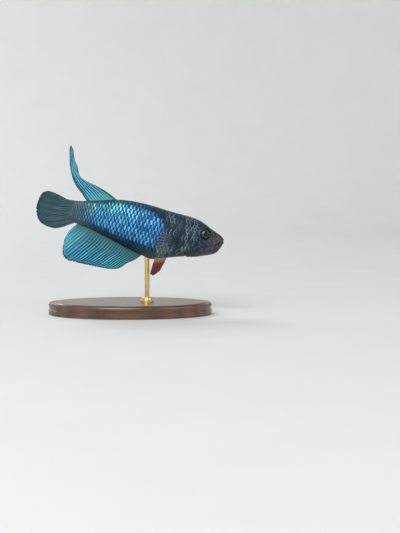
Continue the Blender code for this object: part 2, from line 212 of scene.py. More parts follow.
def body_size(column, behind):
    """BACK, BELLY, HALF_WIDTH or WIDEST at a distance behind the snout."""
    return np.interp(warped(behind), TABLE[0], TABLE[column])


def body_points(behind, angle):
    """Points of the body's surface. Angle 0 is the left side, 90 degrees the back."""
    middle = body_size(WIDEST, behind)
    side, lift = np.cos(angle), np.sin(angle)
    power = 2 / np.where(lift > 0, BACK_ROUNDNESS, BELLY_ROUNDNESS)
    reach = np.where(lift > 0, body_size(BACK, behind) - middle, middle - body_size(BELLY, behind))
    across = body_size(HALF_WIDTH, behind) * np.copysign(np.abs(side) ** power, side)
    up = middle + reach * np.copysign(np.abs(lift) ** power, lift)
    return np.stack(np.broadcast_arrays(-behind, across, up), axis=-1)


def turn_angle(v):
    """The angle round the body at v of the unwrap: 0 is the back, and -0.5 and 0.5 are the belly."""
    return math.pi / 2 + math.tau * v


def height_share(behind, up):
    """Height as a share of the section: -1 at the belly, 0 at the widest point, 1 at the back."""
    middle = body_size(WIDEST, behind)
    reach = np.where(up > middle, body_size(BACK, behind) - middle, middle - body_size(BELLY, behind))
    return (up - middle) / (reach + 1e-6)


def distance_to_path(path, behind, up):
    """Side-view distance to a path of (behind, up) points."""
    gaps = np.stack([behind, up], axis=-1)[..., None, :] - curve_through(path, 60)
    return np.sqrt((gaps**2).sum(-1).min(-1))


GILL_HEIGHTS = (-8.2, -7.4, -6.4, -5.0, -3.2, -1.5, 0.4, 2.0, 3.3, 4.4)
GILL_EDGE = (8.6, 10.6, 12.2, 13.4, 14.2, 14.45, 14.2, 13.5, 12.5, 11.4)
GILL_TOP = (2.6, 4.0)  # the heights over which the gill's opening closes
CHEEK_BONE = ((8.1, 3.1), (8.8, 1.2), (9.0, -1.6), (8.1, -4.2), (5.6, -5.6))
COVER_BONE = ((9.3, -3.2), (11.4, -4.4), (13.6, -4.9))
THROAT_FOLDS = ((0.5, 0.1), (1.05, 0.11), (1.6, 0.11))  # distance from the middle, and width
MOUTH_FRONT, MOUTH_WAY = (-1.0, 0.55), (0.779, -0.627)
MOUTH_CORNER = 4.55  # along the mouth from its front
NOSTRILS = (((2.7, 1.2), 0.15), ((3.75, 1.9), 0.12))  # place and size
# Each row of sensory pores: its path and how many pores less one lie along it.
PORE_ROWS = (
    (((3.2, -0.9), (4.6, -2.0), (6.6, -2.2), (8.0, -1.0)), 6),
    (((1.9, -3.4), (3.6, -4.4), (5.8, -5.1), (7.4, -5.0)), 5),
    (((8.35, 1.6), (8.5, -0.2), (8.4, -2.0), (7.7, -3.6)), 5),
    (((4.2, 2.5), (5.6, 3.15), (7.4, 3.3), (9.4, 3.6)), 5),
)


def gill_edge(up):
    """How far behind the snout the gill cover's free edge lies at a height."""
    return smooth_through(GILL_HEIGHTS, GILL_EDGE, up)


def from_gill_edge(behind, up):
    """Distance ahead of the gill cover's free edge, square to it."""
    step = 0.1
    slope = (gill_edge(up + step) - gill_edge(up - step)) / (2 * step)
    return (gill_edge(up) - behind) / np.hypot(1, slope)


def mouth_relief(behind, up):
    """The closed mouth: a slit that climbs to the nose, between two thick lips."""
    ahead, over = behind - MOUTH_FRONT[0], up - MOUTH_FRONT[1]
    along = ahead * MOUTH_WAY[0] + over * MOUTH_WAY[1]
    above = over * MOUTH_WAY[0] - ahead * MOUTH_WAY[1]
    slit = -0.34 * bump(above, 0, 0.1)
    lips = 0.15 * bump(above, 0.38, 0.24) + 0.2 * bump(above, -0.44, 0.3)
    folds = -0.1 * bump(above, 0.86, 0.14) - 0.07 * bump(above, -1.05, 0.18)
    corner = -0.12 * bump(along, MOUTH_CORNER, 0.22) * bump(above, 0, 0.3)
    return (slit + lips + folds) * (1 - rise(along, 4.1, 4.7)) + corner


def eye_relief(behind, up):
    """The eye's socket, its rim and the fold round it."""
    from_eye = np.hypot(behind - EYE_CENTRE[0], up - EYE_CENTRE[2])
    socket = rise(from_eye, 1.45, 1.8) - 1
    rim = 0.1 * bump(from_eye, 1.98, 0.2) - 0.06 * bump(from_eye, 2.42, 0.16)
    cheek = -0.05 * bump(from_eye, 3.1, 0.16) * (up < EYE_CENTRE[2] + 0.6)
    return socket + rim + cheek


def nostril_relief(behind, up):
    """Small pits with raised rims between the eye and the upper lip."""
    made = 0
    for place, size in NOSTRILS:
        away = np.hypot(behind - place[0], up - place[1])
        made = made - 0.22 * bump(away, 0, size) + 0.09 * bump(away, 1.75 * size, 0.6 * size)
    return made


def pore_relief(behind, up):
    """The sensory pores under the eye, along the lower jaw, down the cheek bone and over the eye."""
    made = 0
    for path, count in PORE_ROWS:
        for spot_behind, spot_up in curve_through(path, count):
            away = np.hypot(behind - spot_behind, up - spot_up)
            made = made - 0.1 * bump(away, 0, 0.13) + 0.03 * bump(away, 0.25, 0.09)
    return made


def cover_relief(behind, up):
    """The swelling of the gill cover, which carries scales too."""
    to_edge = from_gill_edge(behind, up)
    return 0.13 * rise(to_edge, 0.0, 0.16) * (1 - rise(to_edge, 3.2, 4.6)) * (1 - rise(up, *GILL_TOP))


def gill_relief(behind, angle, up, side):
    """The gill slit, the bone edges of the cheek, and the folds of the throat."""
    to_edge = from_gill_edge(behind, up)
    slit = -0.26 * bump(to_edge, -0.12, 0.2) - 0.04 * bump(to_edge, 0.75, 0.14)
    from_cheek = distance_to_path(CHEEK_BONE, behind, up)
    from_cover = distance_to_path(COVER_BONE, behind, up)
    bones = 0.05 * bump(from_cheek, 0.36, 0.2) - 0.11 * bump(from_cheek, 0, 0.15)
    bones = bones - 0.06 * bump(from_cover, 0, 0.12)
    throat = rise(behind, 5.8, 7.2) * (1 - rise(behind, 12.4, 13.6)) * (1 - rise(np.sin(angle), -0.85, -0.62))
    folds = -0.09 * sum(bump(side, *fold) for fold in THROAT_FOLDS)
    return slit * (1 - rise(up, *GILL_TOP)) + bones + folds * throat


def skin_relief(behind, angle, points):
    """How far the skin stands out of the bed of the scales, in millimetres."""
    up, side = points[..., 2], np.abs(points[..., 1])
    relief = gill_relief(behind, angle, up, side)
    for part in (mouth_relief, eye_relief, nostril_relief, pore_relief):
        relief = relief + part(behind, up)
    return relief * (1 - rise(behind, HEAD_END, HEAD_END + 2))


def bed_relief(behind, points):
    """How far the bed of the scales stands out of the plain body: in by the coat, out over the gill cover."""
    return cover_relief(behind, points[..., 2]) - COAT * rise(behind, 4.0, 7.0)


def grid_normals(points):
    """Outward normals of a grid whose first axis goes aft and whose second axis goes round the body."""
    aft = np.gradient(points, axis=0)
    wrapped = np.concatenate([points[:, -1:], points, points[:, :1]], axis=1)
    return unit(np.cross(aft, wrapped[:, 2:] - wrapped[:, :-2]))


def skin_grid():
    """Behind, v, points, and the smooth bed and outward normals that the scales follow."""
    head = np.linspace(warped(0.04 - NOSE), warped(HEAD_END), RINGS_HEAD)
    body = np.linspace(warped(HEAD_END), warped(BODY_END), RINGS_BODY + 1)[1:]
    ring = (np.concatenate([head, body]) ** (1 / NOSE_BLUNTNESS) - NOSE)[:, None]
    v = -0.5 + np.arange(ROUND) / ROUND
    angle = np.broadcast_to(turn_angle(v), (len(ring), ROUND))
    behind = ring + TAIL_BOW * np.cos(angle) ** 2 * rise(ring, 38, BODY_END)
    plain = body_points(behind, angle)
    normals = grid_normals(plain)
    bed = plain + normals * bed_relief(behind, plain)[..., None]
    points = bed + normals * skin_relief(behind, angle, plain)[..., None]
    return behind, v, points, bed, normals


# ---- From the fish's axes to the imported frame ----


def find_fish():
    """The turn and place of the fish's own axes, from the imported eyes."""
    middles = [sum(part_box(f"eye_{word}"), Vector()) / 2 for _, word in SIDES]
    turn = Matrix.Rotation(PITCH, 3, "Y")
    eye = Vector((-EYE_CENTRE[0], 0, EYE_CENTRE[2])) * MM
    return np.array(turn), np.array((middles[0] + middles[1]) / 2 - turn @ eye)


TURN, ORIGIN = find_fish()


def to_world(points):
    return points * MM @ TURN.T + ORIGIN


# ---- Meshes ----


def show(name, data):
    """A new object of some data, in the scene."""
    shown = bpy.data.objects.new(name, data)
    bpy.context.scene.collection.objects.link(shown)
    return shown


def make_piece(name, points, faces, finish=None, edges=(), closed=True):
    """A smooth-shaded object from world points and faces."""
    mesh = bpy.data.meshes.new(name)
    mesh.from_pydata(np.asarray(points).tolist(), list(edges), faces)
    mesh.update()
    mesh.shade_smooth()
    if closed:
        turn_outwards(mesh)
    if finish:
        mesh.materials.append(finish)
    return show(name, mesh)


def set_attribute(piece, name, values):
    """Store a number, or a vector of three, for each point of a piece."""
    values = np.asarray(values, np.float32)
    kind, key = ("FLOAT", "value") if values.ndim == 1 else ("FLOAT_VECTOR", "vector")
    piece.data.attributes.new(name, kind, "POINT").data.foreach_set(key, values.ravel())


def get_attribute(mesh, name):
    """The vectors that a mesh stores for its points."""
    found = np.zeros(len(mesh.vertices) * 3, np.float32)
    mesh.attributes[name].data.foreach_get("vector", found)
    return found.reshape(-1, 3)


def settle(slot, *pieces):
    """Make the pieces ride on the root. The slot is not used."""
    for piece in pieces:
        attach(piece, "root")


def turn_outwards(mesh):
    """Recalculate a closed mesh's normals so that they all point out."""
    shape = bmesh.new()
    shape.from_mesh(mesh)
    bmesh.ops.recalc_face_normals(shape, faces=shape.faces)
    shape.to_mesh(mesh)
    shape.free()


def grid_faces(rows, columns, wrap_columns=False, wrap_rows=False):
    """Faces of a grid of points, which may close round its columns or its rows."""
    starts = np.arange(rows - (not wrap_rows)), np.arange(columns - (not wrap_columns))
    i, j = np.meshgrid(*starts, indexing="ij")
    below, beside = (i + 1) % rows, (j + 1) % columns
    corners = (i * columns + j, below * columns + j, below * columns + beside, i * columns + beside)
    return np.stack(corners, axis=-1).reshape(-1, 4).tolist()


def grid_rim(rows, columns):
    """The numbers of the points round a grid's edge, in order."""
    rim = list(range(columns))
    rim += [i * columns + columns - 1 for i in range(1, rows)]
    rim += [(rows - 1) * columns + j for j in range(columns - 2, -1, -1)]
    return rim + [i * columns for i in range(rows - 2, 0, -1)]


def sheet(name, middle, half, finish, attributes):
    """A closed sheet about a grid of middle points, half thick to each side, in the fish's axes."""
    rows, columns = middle.shape[:2]
    normals = unit(np.cross(np.gradient(middle, axis=0), np.gradient(middle, axis=1)))
    offset = normals * half[..., None]
    points = np.concatenate([(middle + offset).reshape(-1, 3), (middle - offset).reshape(-1, 3)])
    size = rows * columns
    near = grid_faces(rows, columns)
    rim = grid_rim(rows, columns)
    faces = near + [[k + size for k in reversed(face)] for face in near]
    faces += [[a, b, b + size, a + size] for a, b in zip(rim, rim[1:] + rim[:1])]
    piece = make_piece(name, to_world(points), faces, finish)
    for key, values in attributes.items():
        set_attribute(piece, key, np.tile(np.broadcast_to(values, (rows, columns)).ravel(), 2))
    return piece


def spun(profile, corners):
    """Points about Z from (radius, height) pairs, a ring of corners for each."""
    turns = np.linspace(0, math.tau, corners, endpoint=False)[None]
    radius, height = np.array(profile).T[..., None]
    points = np.broadcast_arrays(radius * np.cos(turns), radius * np.sin(turns), height)
    return np.stack(points, axis=-1).reshape(-1, 3)


def spun_faces(rings, corners, closed=False):
    """Faces of rings of points. A closed profile makes a ring, and any other is capped at both ends."""
    faces = grid_faces(rings, corners, True, closed)
    if closed:
        return faces
    return [*faces, list(range(corners)), list(range((rings - 1) * corners, rings * corners))]


def turned(name, profile, corners, centre, finish, narrow=1.0, closed=False):
    """A sharp-edged solid about Z from (radius, height) pairs in mm, narrowed along Y."""
    points = spun(profile, corners) * (1, narrow, 1) * MM + centre
    piece = make_piece(name, points, spun_faces(len(profile), corners, closed), finish)
    piece.data.set_sharp_from_angle(angle=math.radians(35))
    return piece


# ---- Node helpers ----


class Value:
    """A socket of a node tree. Arithmetic on it adds Math nodes."""

    def __init__(self, socket):
        self.socket = socket
        self.tree = socket.id_data

    def apply(self, operation, *others):
        return node(self.tree, "ShaderNodeMath", dict(enumerate((self, *others))), operation=operation)[0]

    __add__ = partialmethod(apply, "ADD")
    __sub__ = partialmethod(apply, "SUBTRACT")
    __mul__ = partialmethod(apply, "MULTIPLY")
    __truediv__ = partialmethod(apply, "DIVIDE")

    def __rsub__(self, other):
        return node(self.tree, "ShaderNodeMath", {0: other, 1: self}, operation="SUBTRACT")[0]


class Outputs:
    """A node's outputs as Values, by name or number."""

    def __init__(self, sockets):
        self.sockets = sockets

    def __getitem__(self, key):
        return Value(self.sockets[key])


def feed(made, inputs):
    """Link or set a node's inputs, by name or number, to Values or plain values."""
    for key, value in inputs.items():
        if isinstance(value, Value):
            value.tree.links.new(value.socket, made.inputs[key])
        else:
            made.inputs[key].default_value = value


def node(tree, kind, inputs=None, **settings):
    """Add a node, set its settings, feed its inputs, and give its outputs."""
    made = tree.nodes.new(kind)
    for key, value in settings.items():
        setattr(made, key, value)
    feed(made, inputs or {})
    return Outputs(made.outputs)


def attribute(tree, name, output="Fac"):
    return node(tree, "ShaderNodeAttribute", attribute_name=name)[output]


def object_place(tree):
    return node(tree, "ShaderNodeTexCoord")["Object"]


def joined(x, y):
    """A vector of two Values."""
    return node(x.tree, "ShaderNodeCombineXYZ", {0: x, 1: y})[0]


def noise(place, scale, detail=2.0, roughness=0.5):
    inputs = {"Vector": place, "Scale": scale, "Detail": detail, "Roughness": roughness}
    return node(place.tree, "ShaderNodeTexNoise", inputs)[0]


def ramp(value, start, end):
    """0 at start and 1 at end, with a smooth step between. Either may be the lower one."""
    inputs = {"Value": value, "From Min": start, "From Max": end}
    return node(value.tree, "ShaderNodeMapRange", inputs, interpolation_type="SMOOTHSTEP")[0]


def wave(value, shape="COSINE"):
    """A wave that repeats at each whole number."""
    return (value * math.tau).apply(shape)


def largest(first, *others):
    for other in others:
        first = first.apply("MAXIMUM", other)
    return first


def mix(share, first, second, mode="MIX"):
    inputs = {0: share, 6: first, 7: second}
    tree = next(value.tree for value in inputs.values() if isinstance(value, Value))
    return node(tree, "ShaderNodeMix", inputs, data_type="RGBA", blend_type=mode)[2]


def layered(colour, *layers):
    """A colour with others laid over it: each layer is its share and its colour."""
    for share, tint in layers:
        colour = mix(share, colour, tint)
    return colour


def spot(along, height, centre, reach):
    """A soft oval mask about a place on the body."""
    across = (along - centre[0]) / reach[0]
    up = (height - centre[1]) / reach[1]
    return ramp((across * across + up * up).apply("SQRT"), 1.1, 0.35)


def new_group(name, kind, inputs, outputs):
    """An empty node group with sockets of the types given: its tree and its inputs."""
    tree = bpy.data.node_groups.new(name, kind)
    for way, sockets in (("INPUT", inputs), ("OUTPUT", outputs)):
        for label, socket in sockets.items():
            tree.interface.new_socket(label, in_out=way, socket_type=f"NodeSocket{socket}")
    return tree, node(tree, "NodeGroupInput")


def new_finish(name):
    """A new material and its node tree."""
    made = bpy.data.materials.new(name)
    made.use_nodes = True
    return made, made.node_tree


def dress(made, **inputs):
    """Feed a material's shader by the names of its inputs, with underscores for their spaces."""
    shader = made.node_tree.nodes["Principled BSDF"]
    feed(shader, {key.replace("_", " "): value for key, value in inputs.items()})
    return made


def relief(height, distance, strength):
    """The normal of a bump."""
    inputs = {"Height": height, "Distance": distance, "Strength": strength}
    return node(height.tree, "ShaderNodeBump", inputs)[0]


# ---- Finishes of the fish ----


def betta_markings():
    """The colours of body and scales by place: behind the snout in mm, and height from -1 to 1."""
    inputs = {"Behind": "Float", "Height": "Float", "Tone": "Float"}
    outputs = {"Glow": "Color", "Ground": "Color", "Shine": "Float"}
    tree, given = new_group("betta markings", "ShaderNodeTree", inputs, outputs)
    behind, height, tone = given["Behind"], given["Height"], given["Tone"]
    toward_back = largest(height, 0.0).apply("POWER", 3.0)
    shoulder = ramp(behind - (toward_back * 11.0 + 17.8), -0.8, 2.4)
    wrist = ramp(behind, 39.5, 46.5) * -0.72 + 1.0
    low_edge = ramp(height, -0.72, -0.4)
    ridge = ramp(height, 0.74, 0.97) * -0.85 + 1.0
    breast = spot(behind, height, (17.6, -0.6), (4.0, 0.46))
    cheek = spot(behind, height, (10.8, -0.5), (1.8, 0.24))
    pale = largest(breast, cheek)
    shine = largest(shoulder * wrist * low_edge * ridge, breast * 0.8, cheek * 0.4, 0.07)
    turquoise = ramp(behind, 24.0, 38.0) * ramp(height, -0.1, 0.6)
    glow = layered(
        srgb(38, 98, 182),
        (ramp(behind, 17.5, 27.0), srgb(56, 150, 212)),
        (turquoise, srgb(54, 152, 150)),
        (ramp(behind, 40.0, 46.5), srgb(98, 128, 136)),
        (pale, srgb(160, 176, 128)),
        (tone * 0.5, mix(turquoise, srgb(122, 196, 228), srgb(120, 204, 196))),
    )
    belly = ramp(height, -0.6, -0.95) * ramp(behind, 27.0, 22.0)
    ground = layered(
        srgb(27, 35, 41),
        (ramp(behind, 12.0, 20.0), srgb(13, 30, 49)),
        (ramp(height, 0.72, 0.95), srgb(38, 46, 56)),
        (belly * 0.8, srgb(84, 92, 92)),
        (shine * 0.9, srgb(4, 66, 112)),
        (pale * 0.8, srgb(50, 64, 62)),
        (ramp(behind, 39.0, 47.0), srgb(50, 72, 82)),
    )
    node(tree, "NodeGroupOutput", {"Glow": glow, "Ground": ground, "Shine": shine})
    return tree


def place_on_body(tree):
    """Behind (mm), height (-1 to 1) and tone, from the attribute that body meshes carry."""
    parts = node(tree, "ShaderNodeSeparateXYZ", {0: attribute(tree, "place", "Vector")})
    return parts[0] * UNWRAP_LENGTH, parts[1], parts[2]


def skin_material(markings):
    """Skin in the fish's markings, mottled, with freckles and reddish lips."""
    made, tree = new_finish("betta_skin")
    behind, height, _ = place_on_body(tree)
    place = object_place(tree)
    mottle = noise(place, 900.0, 4.0)
    inputs = {"Behind": behind, "Height": height, "Tone": mottle}
    found = node(tree, "ShaderNodeGroup", inputs, node_tree=markings)
    lips = mix(ramp(noise(place, 700.0, 4.0), 0.4, 0.62), srgb(50, 42, 50), srgb(86, 66, 72))
    freckles = ramp(noise(place, 1500.0, 3.0), 0.54, 0.66)
    colour = layered(
        found["Ground"],
        (found["Shine"] * 0.35, found["Glow"]),
        (ramp(behind, 6.5, 1.5) * 0.8, lips),
        (freckles * 0.5, srgb(98, 112, 116)),
    )
    shade = mix(mottle, srgb(120, 126, 134), srgb(255, 255, 255))
    return dress(
        made,
        Base_Color=mix(0.5, colour, shade, "MULTIPLY"),
        Roughness=mottle * 0.25 + 0.26,
        Normal=relief(mottle * 0.6 + noise(place, 5200.0, 3.0), 0.00004, 0.6),
        Coat_Weight=0.12,
        Coat_Roughness=0.18,
        Specular_IOR_Level=0.25,
    )


def scale_material(markings):
    """One scale: a bright streak that fades into painted shade toward the covering scale, a dark free edge,
    growth rings, and on the head a pale mark, partly a painted wet highlight.
    """
    made, tree = new_finish("betta_scales")
    behind, height, tone = place_on_body(tree)
    inputs = {"Behind": behind, "Height": height, "Tone": tone}
    found = node(tree, "ShaderNodeGroup", inputs, node_tree=markings)
    local = node(tree, "ShaderNodeSeparateXYZ", {0: attribute(tree, "local", "Vector")})
    across, to_edge = local[1].apply("ABSOLUTE"), local[2]
    # The streak fades out before the covering scale's edge. This leaves the dark ground there as painted
    # shade in the pocket under that scale.
    pocket_shade_fade = ramp(to_edge - tone * 0.3, 0.71, 0.41)
    streak = ramp(to_edge, 0.18, 0.4) * pocket_shade_fade * ramp(across, 1.0, 0.5)
    patches = ramp(noise(object_place(tree), 230.0, 3.0), 0.35, 0.65)
    head = ramp(behind, 6.0, 9.5) * ramp(behind, 19.5, 15.8)
    # On the head, a pale mark near each scale's free edge: partly the scales' pale edges, partly a painted
    # wet highlight.
    fleck_and_wet_highlight = head * ramp(to_edge, 0.04, 0.1) * ramp(to_edge, 0.34, 0.18) * ramp(tone, 0.25, 0.8)
    colour = layered(
        found["Ground"],
        (found["Shine"] * streak * (tone * 0.85 + patches * 0.4 + 0.27), found["Glow"]),
        (ramp(to_edge, 0.24, 0.02) * 0.7, srgb(4, 32, 62)),
        (fleck_and_wet_highlight * 0.8, srgb(136, 156, 152)),
    )
    return dress(
        made,
        Base_Color=colour,
        Metallic=found["Shine"] * streak * 0.45,
        Roughness=streak * -0.1 + 0.42,
        Normal=relief(wave(to_edge / 0.11, "SINE"), 0.000006, 0.5),
        Coat_Weight=0.06,
        Coat_Roughness=0.15,
        Specular_IOR_Level=0.16,
    )


def fin_streaks():
    """The streaks of a fin membrane, from its ray count coordinate and its share out to the margin."""
    inputs = dict.fromkeys(("Bright", "Dark", "Drift", "Root", "Margin"), "Color")
    shares = ("Dark Share", "Drift Share", "Fork At", "Root Reach", "Margin Start")
    inputs |= dict.fromkeys(("Ray", "Out", *shares, "Rungs", "Rung Count"), "Float")
    tree, given = new_group("fin streaks", "ShaderNodeTree", inputs, {"Colour": "Color", "Streak": "Float"})
    out = given["Out"]
    place = joined(given["Ray"] * 1.7, out)
    ray = given["Ray"] + (noise(place, 2.6, 3.0) * 0.36 - 0.18)
    fork = out - given["Fork At"]
    stripes = wave(ray) * ramp(fork, 0.16, -0.02) + wave(ray * 2.0 + 0.5) * ramp(fork, -0.02, 0.16)
    flecks = noise(place, 9.0, 3.0)
    streak = ramp(stripes, given["Dark Share"], 0.9) * ramp(flecks, 0.22, 0.56)
    clouds = ramp(noise(place, 0.55, 3.0), 0.42, 0.62) * given["Drift Share"]
    rung = wave(noise(place, 1.3, 2.0) * 2.5 + out * given["Rung Count"], "SINE")
    colour = layered(
        given["Dark"],
        (streak, mix(clouds, given["Bright"], given["Drift"])),
        (ramp(rung, 0.2, 0.8) * ramp(flecks, 0.4, 0.6) * given["Rungs"], given["Dark"]),
        (ramp(out, given["Root Reach"], 0.0) * 0.8, given["Root"]),
        (ramp(out, given["Margin Start"], 1.0), given["Margin"]),
    )
    node(tree, "NodeGroupOutput", {"Colour": colour, "Streak": streak})
    return tree


def with_edges(colour, ray, edges):
    """A colour with a fin's dark edges over it: each has its colour and the rays it grows from and to."""
    return layered(colour, *((ramp(ray, start, end) * 0.8, edge) for edge, start, end in edges))


def fin_material(name, streaks, plan):
    """A fin membrane of streaks along its rays, tinted over some of its rays."""
    made, tree = new_finish(name)
    ray = attribute(tree, "ray")
    inputs = {"Ray": ray, "Out": attribute(tree, "out"), "Fork At": plan["forks"][0], **plan["palette"]}
    for label, tint, *spans in plan["tints"]:
        share = ramp(ray, *spans[0])
        for span in spans[1:]:
            share = share * ramp(ray, *span)
        inputs[label] = mix(share, inputs[label], tint)
    found = node(tree, "ShaderNodeGroup", inputs, node_tree=streaks)
    return dress(
        made,
        Base_Color=with_edges(found["Colour"], ray, plan["edges"]),
        Metallic=found["Streak"] * 0.25,
        Normal=relief(found["Streak"], 0.00005, 0.35),
        Roughness=0.5,
        Specular_IOR_Level=0.1,
    )


def ray_material(name, base, tip, edges=(), metal=0.15):
    """A fin ray of short bony links, from its base colour to its tip colour."""
    made, tree = new_finish(name)
    joint = ramp(wave(attribute(tree, "length") / 0.42, "SINE"), 0.72, 0.98)
    bony = 1.0 - joint
    colour = with_edges(mix(attribute(tree, "out"), base, tip), attribute(tree, "ray"), edges)
    return dress(
        made,
        Base_Color=mix(joint * 0.45, colour, srgb(12, 34, 50)),
        Metallic=bony * metal,
        Normal=relief(bony, 0.00003, 0.6),
        Roughness=0.45,
        Specular_IOR_Level=0.2,
    )


def clear_fin_material():
    """The pectoral's clear membrane."""
    made, tree = new_finish("pectoral_membrane")
    stripe = ramp(wave(attribute(tree, "ray")), -0.4, 0.7)
    root = ramp(attribute(tree, "out"), 0.3, 0.0) * 0.4
    return dress(
        made,
        Base_Color=mix(stripe, srgb(40, 50, 62), srgb(96, 110, 110)),
        Alpha=stripe * 0.1 + 0.14 + root,
        Roughness=0.25,
        Coat_Weight=0.2,
    )


def red_fin_material():
    """The pelvic fin: brown-orange root, deep red blade, dark tip."""
    made, tree = new_finish("pelvic_fin_red")
    out = attribute(tree, "out")
    colour = layered(
        srgb(62, 4, 6),
        (ramp(wave(attribute(tree, "ray")), -0.5, 0.6), srgb(106, 10, 10)),
        (ramp(out, 0.42, 0.16), srgb(118, 96, 76)),
        (ramp(out, 0.72, 1.0), srgb(46, 18, 26)),
    )
    return dress(made, Base_Color=colour, Roughness=0.5, Specular_IOR_Level=0.2)


PUPIL, IRIS = 0.82, 1.55  # radii in millimetres


def eye_material():
    """The eyeball by radius: black pupil, a thin bright ring, a dark blue iris and a dark rim."""
    made, tree = new_finish("eyeball")
    radius = attribute(tree, "radius")
    fibres = noise(joined(attribute(tree, "turn") * 14.0, radius), 3.0, 4.0)
    outside_pupil = ramp(radius, PUPIL - 0.02, PUPIL + 0.01)
    ring = ramp(radius, PUPIL, PUPIL + 0.04) * ramp(radius, PUPIL + 0.18, PUPIL + 0.08)
    colour = layered(
        srgb(10, 20, 32),
        (fibres, srgb(38, 84, 106)),
        (ring * 0.8, srgb(150, 140, 88)),
        (1.0 - outside_pupil, srgb(2, 3, 4)),
        (ramp(radius, IRIS - 0.15, IRIS + 0.15), srgb(12, 15, 22)),
    )
    return dress(
        made,
        Base_Color=colour,
        Metallic=outside_pupil * 0.45,
        Normal=relief(fibres, 0.00003, 0.4),
        Roughness=0.3,
        Specular_IOR_Level=0.1,
    )


def cornea_material():
    made, _ = new_finish("cornea")
    return dress(made, Roughness=0.05, IOR=1.24, Transmission_Weight=1.0)


# ---- Geometry Nodes ----


def growth_tree(name, inputs):
    """A geometry tree that grows something from a geometry and its other inputs."""
    shape = {"Geometry": "Geometry"}
    return new_group(name, "GeometryNodeTree", {**shape, **inputs}, shape)


def end_tree(tree, geometry, finish):
    """Close a tree with Realize Instances and Set Material."""
    solid = node(tree, "GeometryNodeRealizeInstances", {0: geometry})[0]
    dressed = node(tree, "GeometryNodeSetMaterial", {"Geometry": solid, "Material": finish})[0]
    node(tree, "NodeGroupOutput", {0: dressed})
    return tree


def named(tree, name, kind="FLOAT_VECTOR"):
    return node(tree, "GeometryNodeInputNamedAttribute", {"Name": name}, data_type=kind)[0]


def shape_of(tree, thing):
    """The geometry of an object that is a tree's input."""
    return node(tree, "GeometryNodeObjectInfo", {"Object": thing})["Geometry"]


def scale_tree():
    """Lays copies of one scale on points of the unwrap, then wraps them onto the skin by its unwrap."""
    tree, given = growth_tree("lay scales", {"Skin": "Object", "Scale": "Object", "Finish": "Material"})
    scale = shape_of(tree, given["Scale"])
    copies = {"Points": given["Geometry"], "Instance": scale, "Scale": named(tree, "size")}
    laid = node(tree, "GeometryNodeInstanceOnPoints", copies)[0]
    flat = node(tree, "GeometryNodeRealizeInstances", {0: laid})[0]
    skin = shape_of(tree, given["Skin"])
    place = node(tree, "ShaderNodeSeparateXYZ", {0: node(tree, "GeometryNodeInputPosition")[0]})
    sampled = {"Mesh": skin, "UV Map": named(tree, "unwrap")}
    sampled["Sample UV"] = joined(place[0], place[1].apply("WRAP", 0.5, -0.5))
    found = []
    for name in ("bed", "outward"):
        sampled["Value"] = named(tree, name)
        found.append(node(tree, "GeometryNodeSampleUVSurface", sampled, data_type="FLOAT_VECTOR")[0])
    lift = node(tree, "ShaderNodeVectorMath", {0: found[1], "Scale": place[2]}, operation="SCALE")[0]
    spots = node(tree, "ShaderNodeVectorMath", {0: found[0], 1: lift}, operation="ADD")[0]
    wrapped = node(tree, "GeometryNodeSetPosition", {"Geometry": flat, "Position": spots})[0]
    return end_tree(tree, wrapped, given["Finish"])


def ray_tree():
    """Grows round rays along a mesh of lines, as thick as their "thick" attribute says."""
    tree, given = growth_tree("grow fin rays", {"Sides": "Int", "Finish": "Material"})
    lines = node(tree, "GeometryNodeMeshToCurve", {"Mesh": given["Geometry"]})[0]
    ring = node(tree, "GeometryNodeCurvePrimitiveCircle", {"Resolution": given["Sides"], "Radius": 1.0})[0]
    tubes = {"Curve": lines, "Profile Curve": ring, "Scale": named(tree, "thick", "FLOAT"), "Fill Caps": True}
    return end_tree(tree, node(tree, "GeometryNodeCurveToMesh", tubes)[0], given["Finish"])


def grown(seeds, tree, values):
    """The plain object that a tree grows from a seed object, which it replaces under the same name."""
    growth = seeds.modifiers.new("growth", "NODES")
    growth.node_group = tree
    for item in tree.interface.items_tree:
        if item.item_type == "SOCKET" and item.in_out == "INPUT" and item.name in values:
            growth[item.identifier] = values[item.name]
    bpy.context.view_layer.update()
    name = seeds.name
    mesh = bpy.data.meshes.new_from_object(seeds.evaluated_get(bpy.context.evaluated_depsgraph_get()))
    bpy.data.objects.remove(seeds)
    mesh.name = name
    mesh.shade_smooth()
    return show(name, mesh)


# ---- The skin and its scales ----


def build_skin(finish):
    """One closed skin over head, trunk and tail, with its unwrap, places and outward directions."""
    behind, v, points, bed, normals = skin_grid()
    rows = len(points)
    last_ring = (rows - 1) * ROUND
    nose = rows * ROUND
    tip = points[0].mean(axis=0) + (0.03, 0, 0)
    faces = grid_faces(rows, ROUND, True)
    faces += [[nose, j, (j + 1) % ROUND] for j in range(ROUND)]
    for step in range(ROUND // 2):
        a, b = last_ring + step, last_ring + step + 1
        c, d = last_ring + (ROUND - step) % ROUND, last_ring + (ROUND - step - 1) % ROUND
        faces.append(list(dict.fromkeys([a, c, d, b])))
    skin = make_piece("betta_skin", to_world(np.vstack([points.reshape(-1, 3), tip])), faces, finish)
    share = height_share(behind, points[..., 2])
    place = np.stack([behind / UNWRAP_LENGTH, share, np.zeros_like(share)], axis=-1).reshape(-1, 3)
    set_attribute(skin, "place", np.vstack([place, (0, 0, 0)]))
    set_attribute(skin, "outward", np.vstack([normals.reshape(-1, 3), (1, 0, 0)]) @ TURN.T)
    set_attribute(skin, "bed", to_world(np.vstack([bed.reshape(-1, 3), tip])))
    unwrap(skin.data, place[:, 0], np.tile(v, rows), last_ring)
    return skin


def corners_of(mesh):
    """The number of the point at each corner of a mesh's faces."""
    return np.array([loop.vertex_index for loop in mesh.loops])


def add_map(mesh, name, uv):
    """Add a UV map from a pair of numbers for each corner."""
    mesh.uv_layers.new(name=name).data.foreach_set("uv", uv.astype(np.float32).ravel())


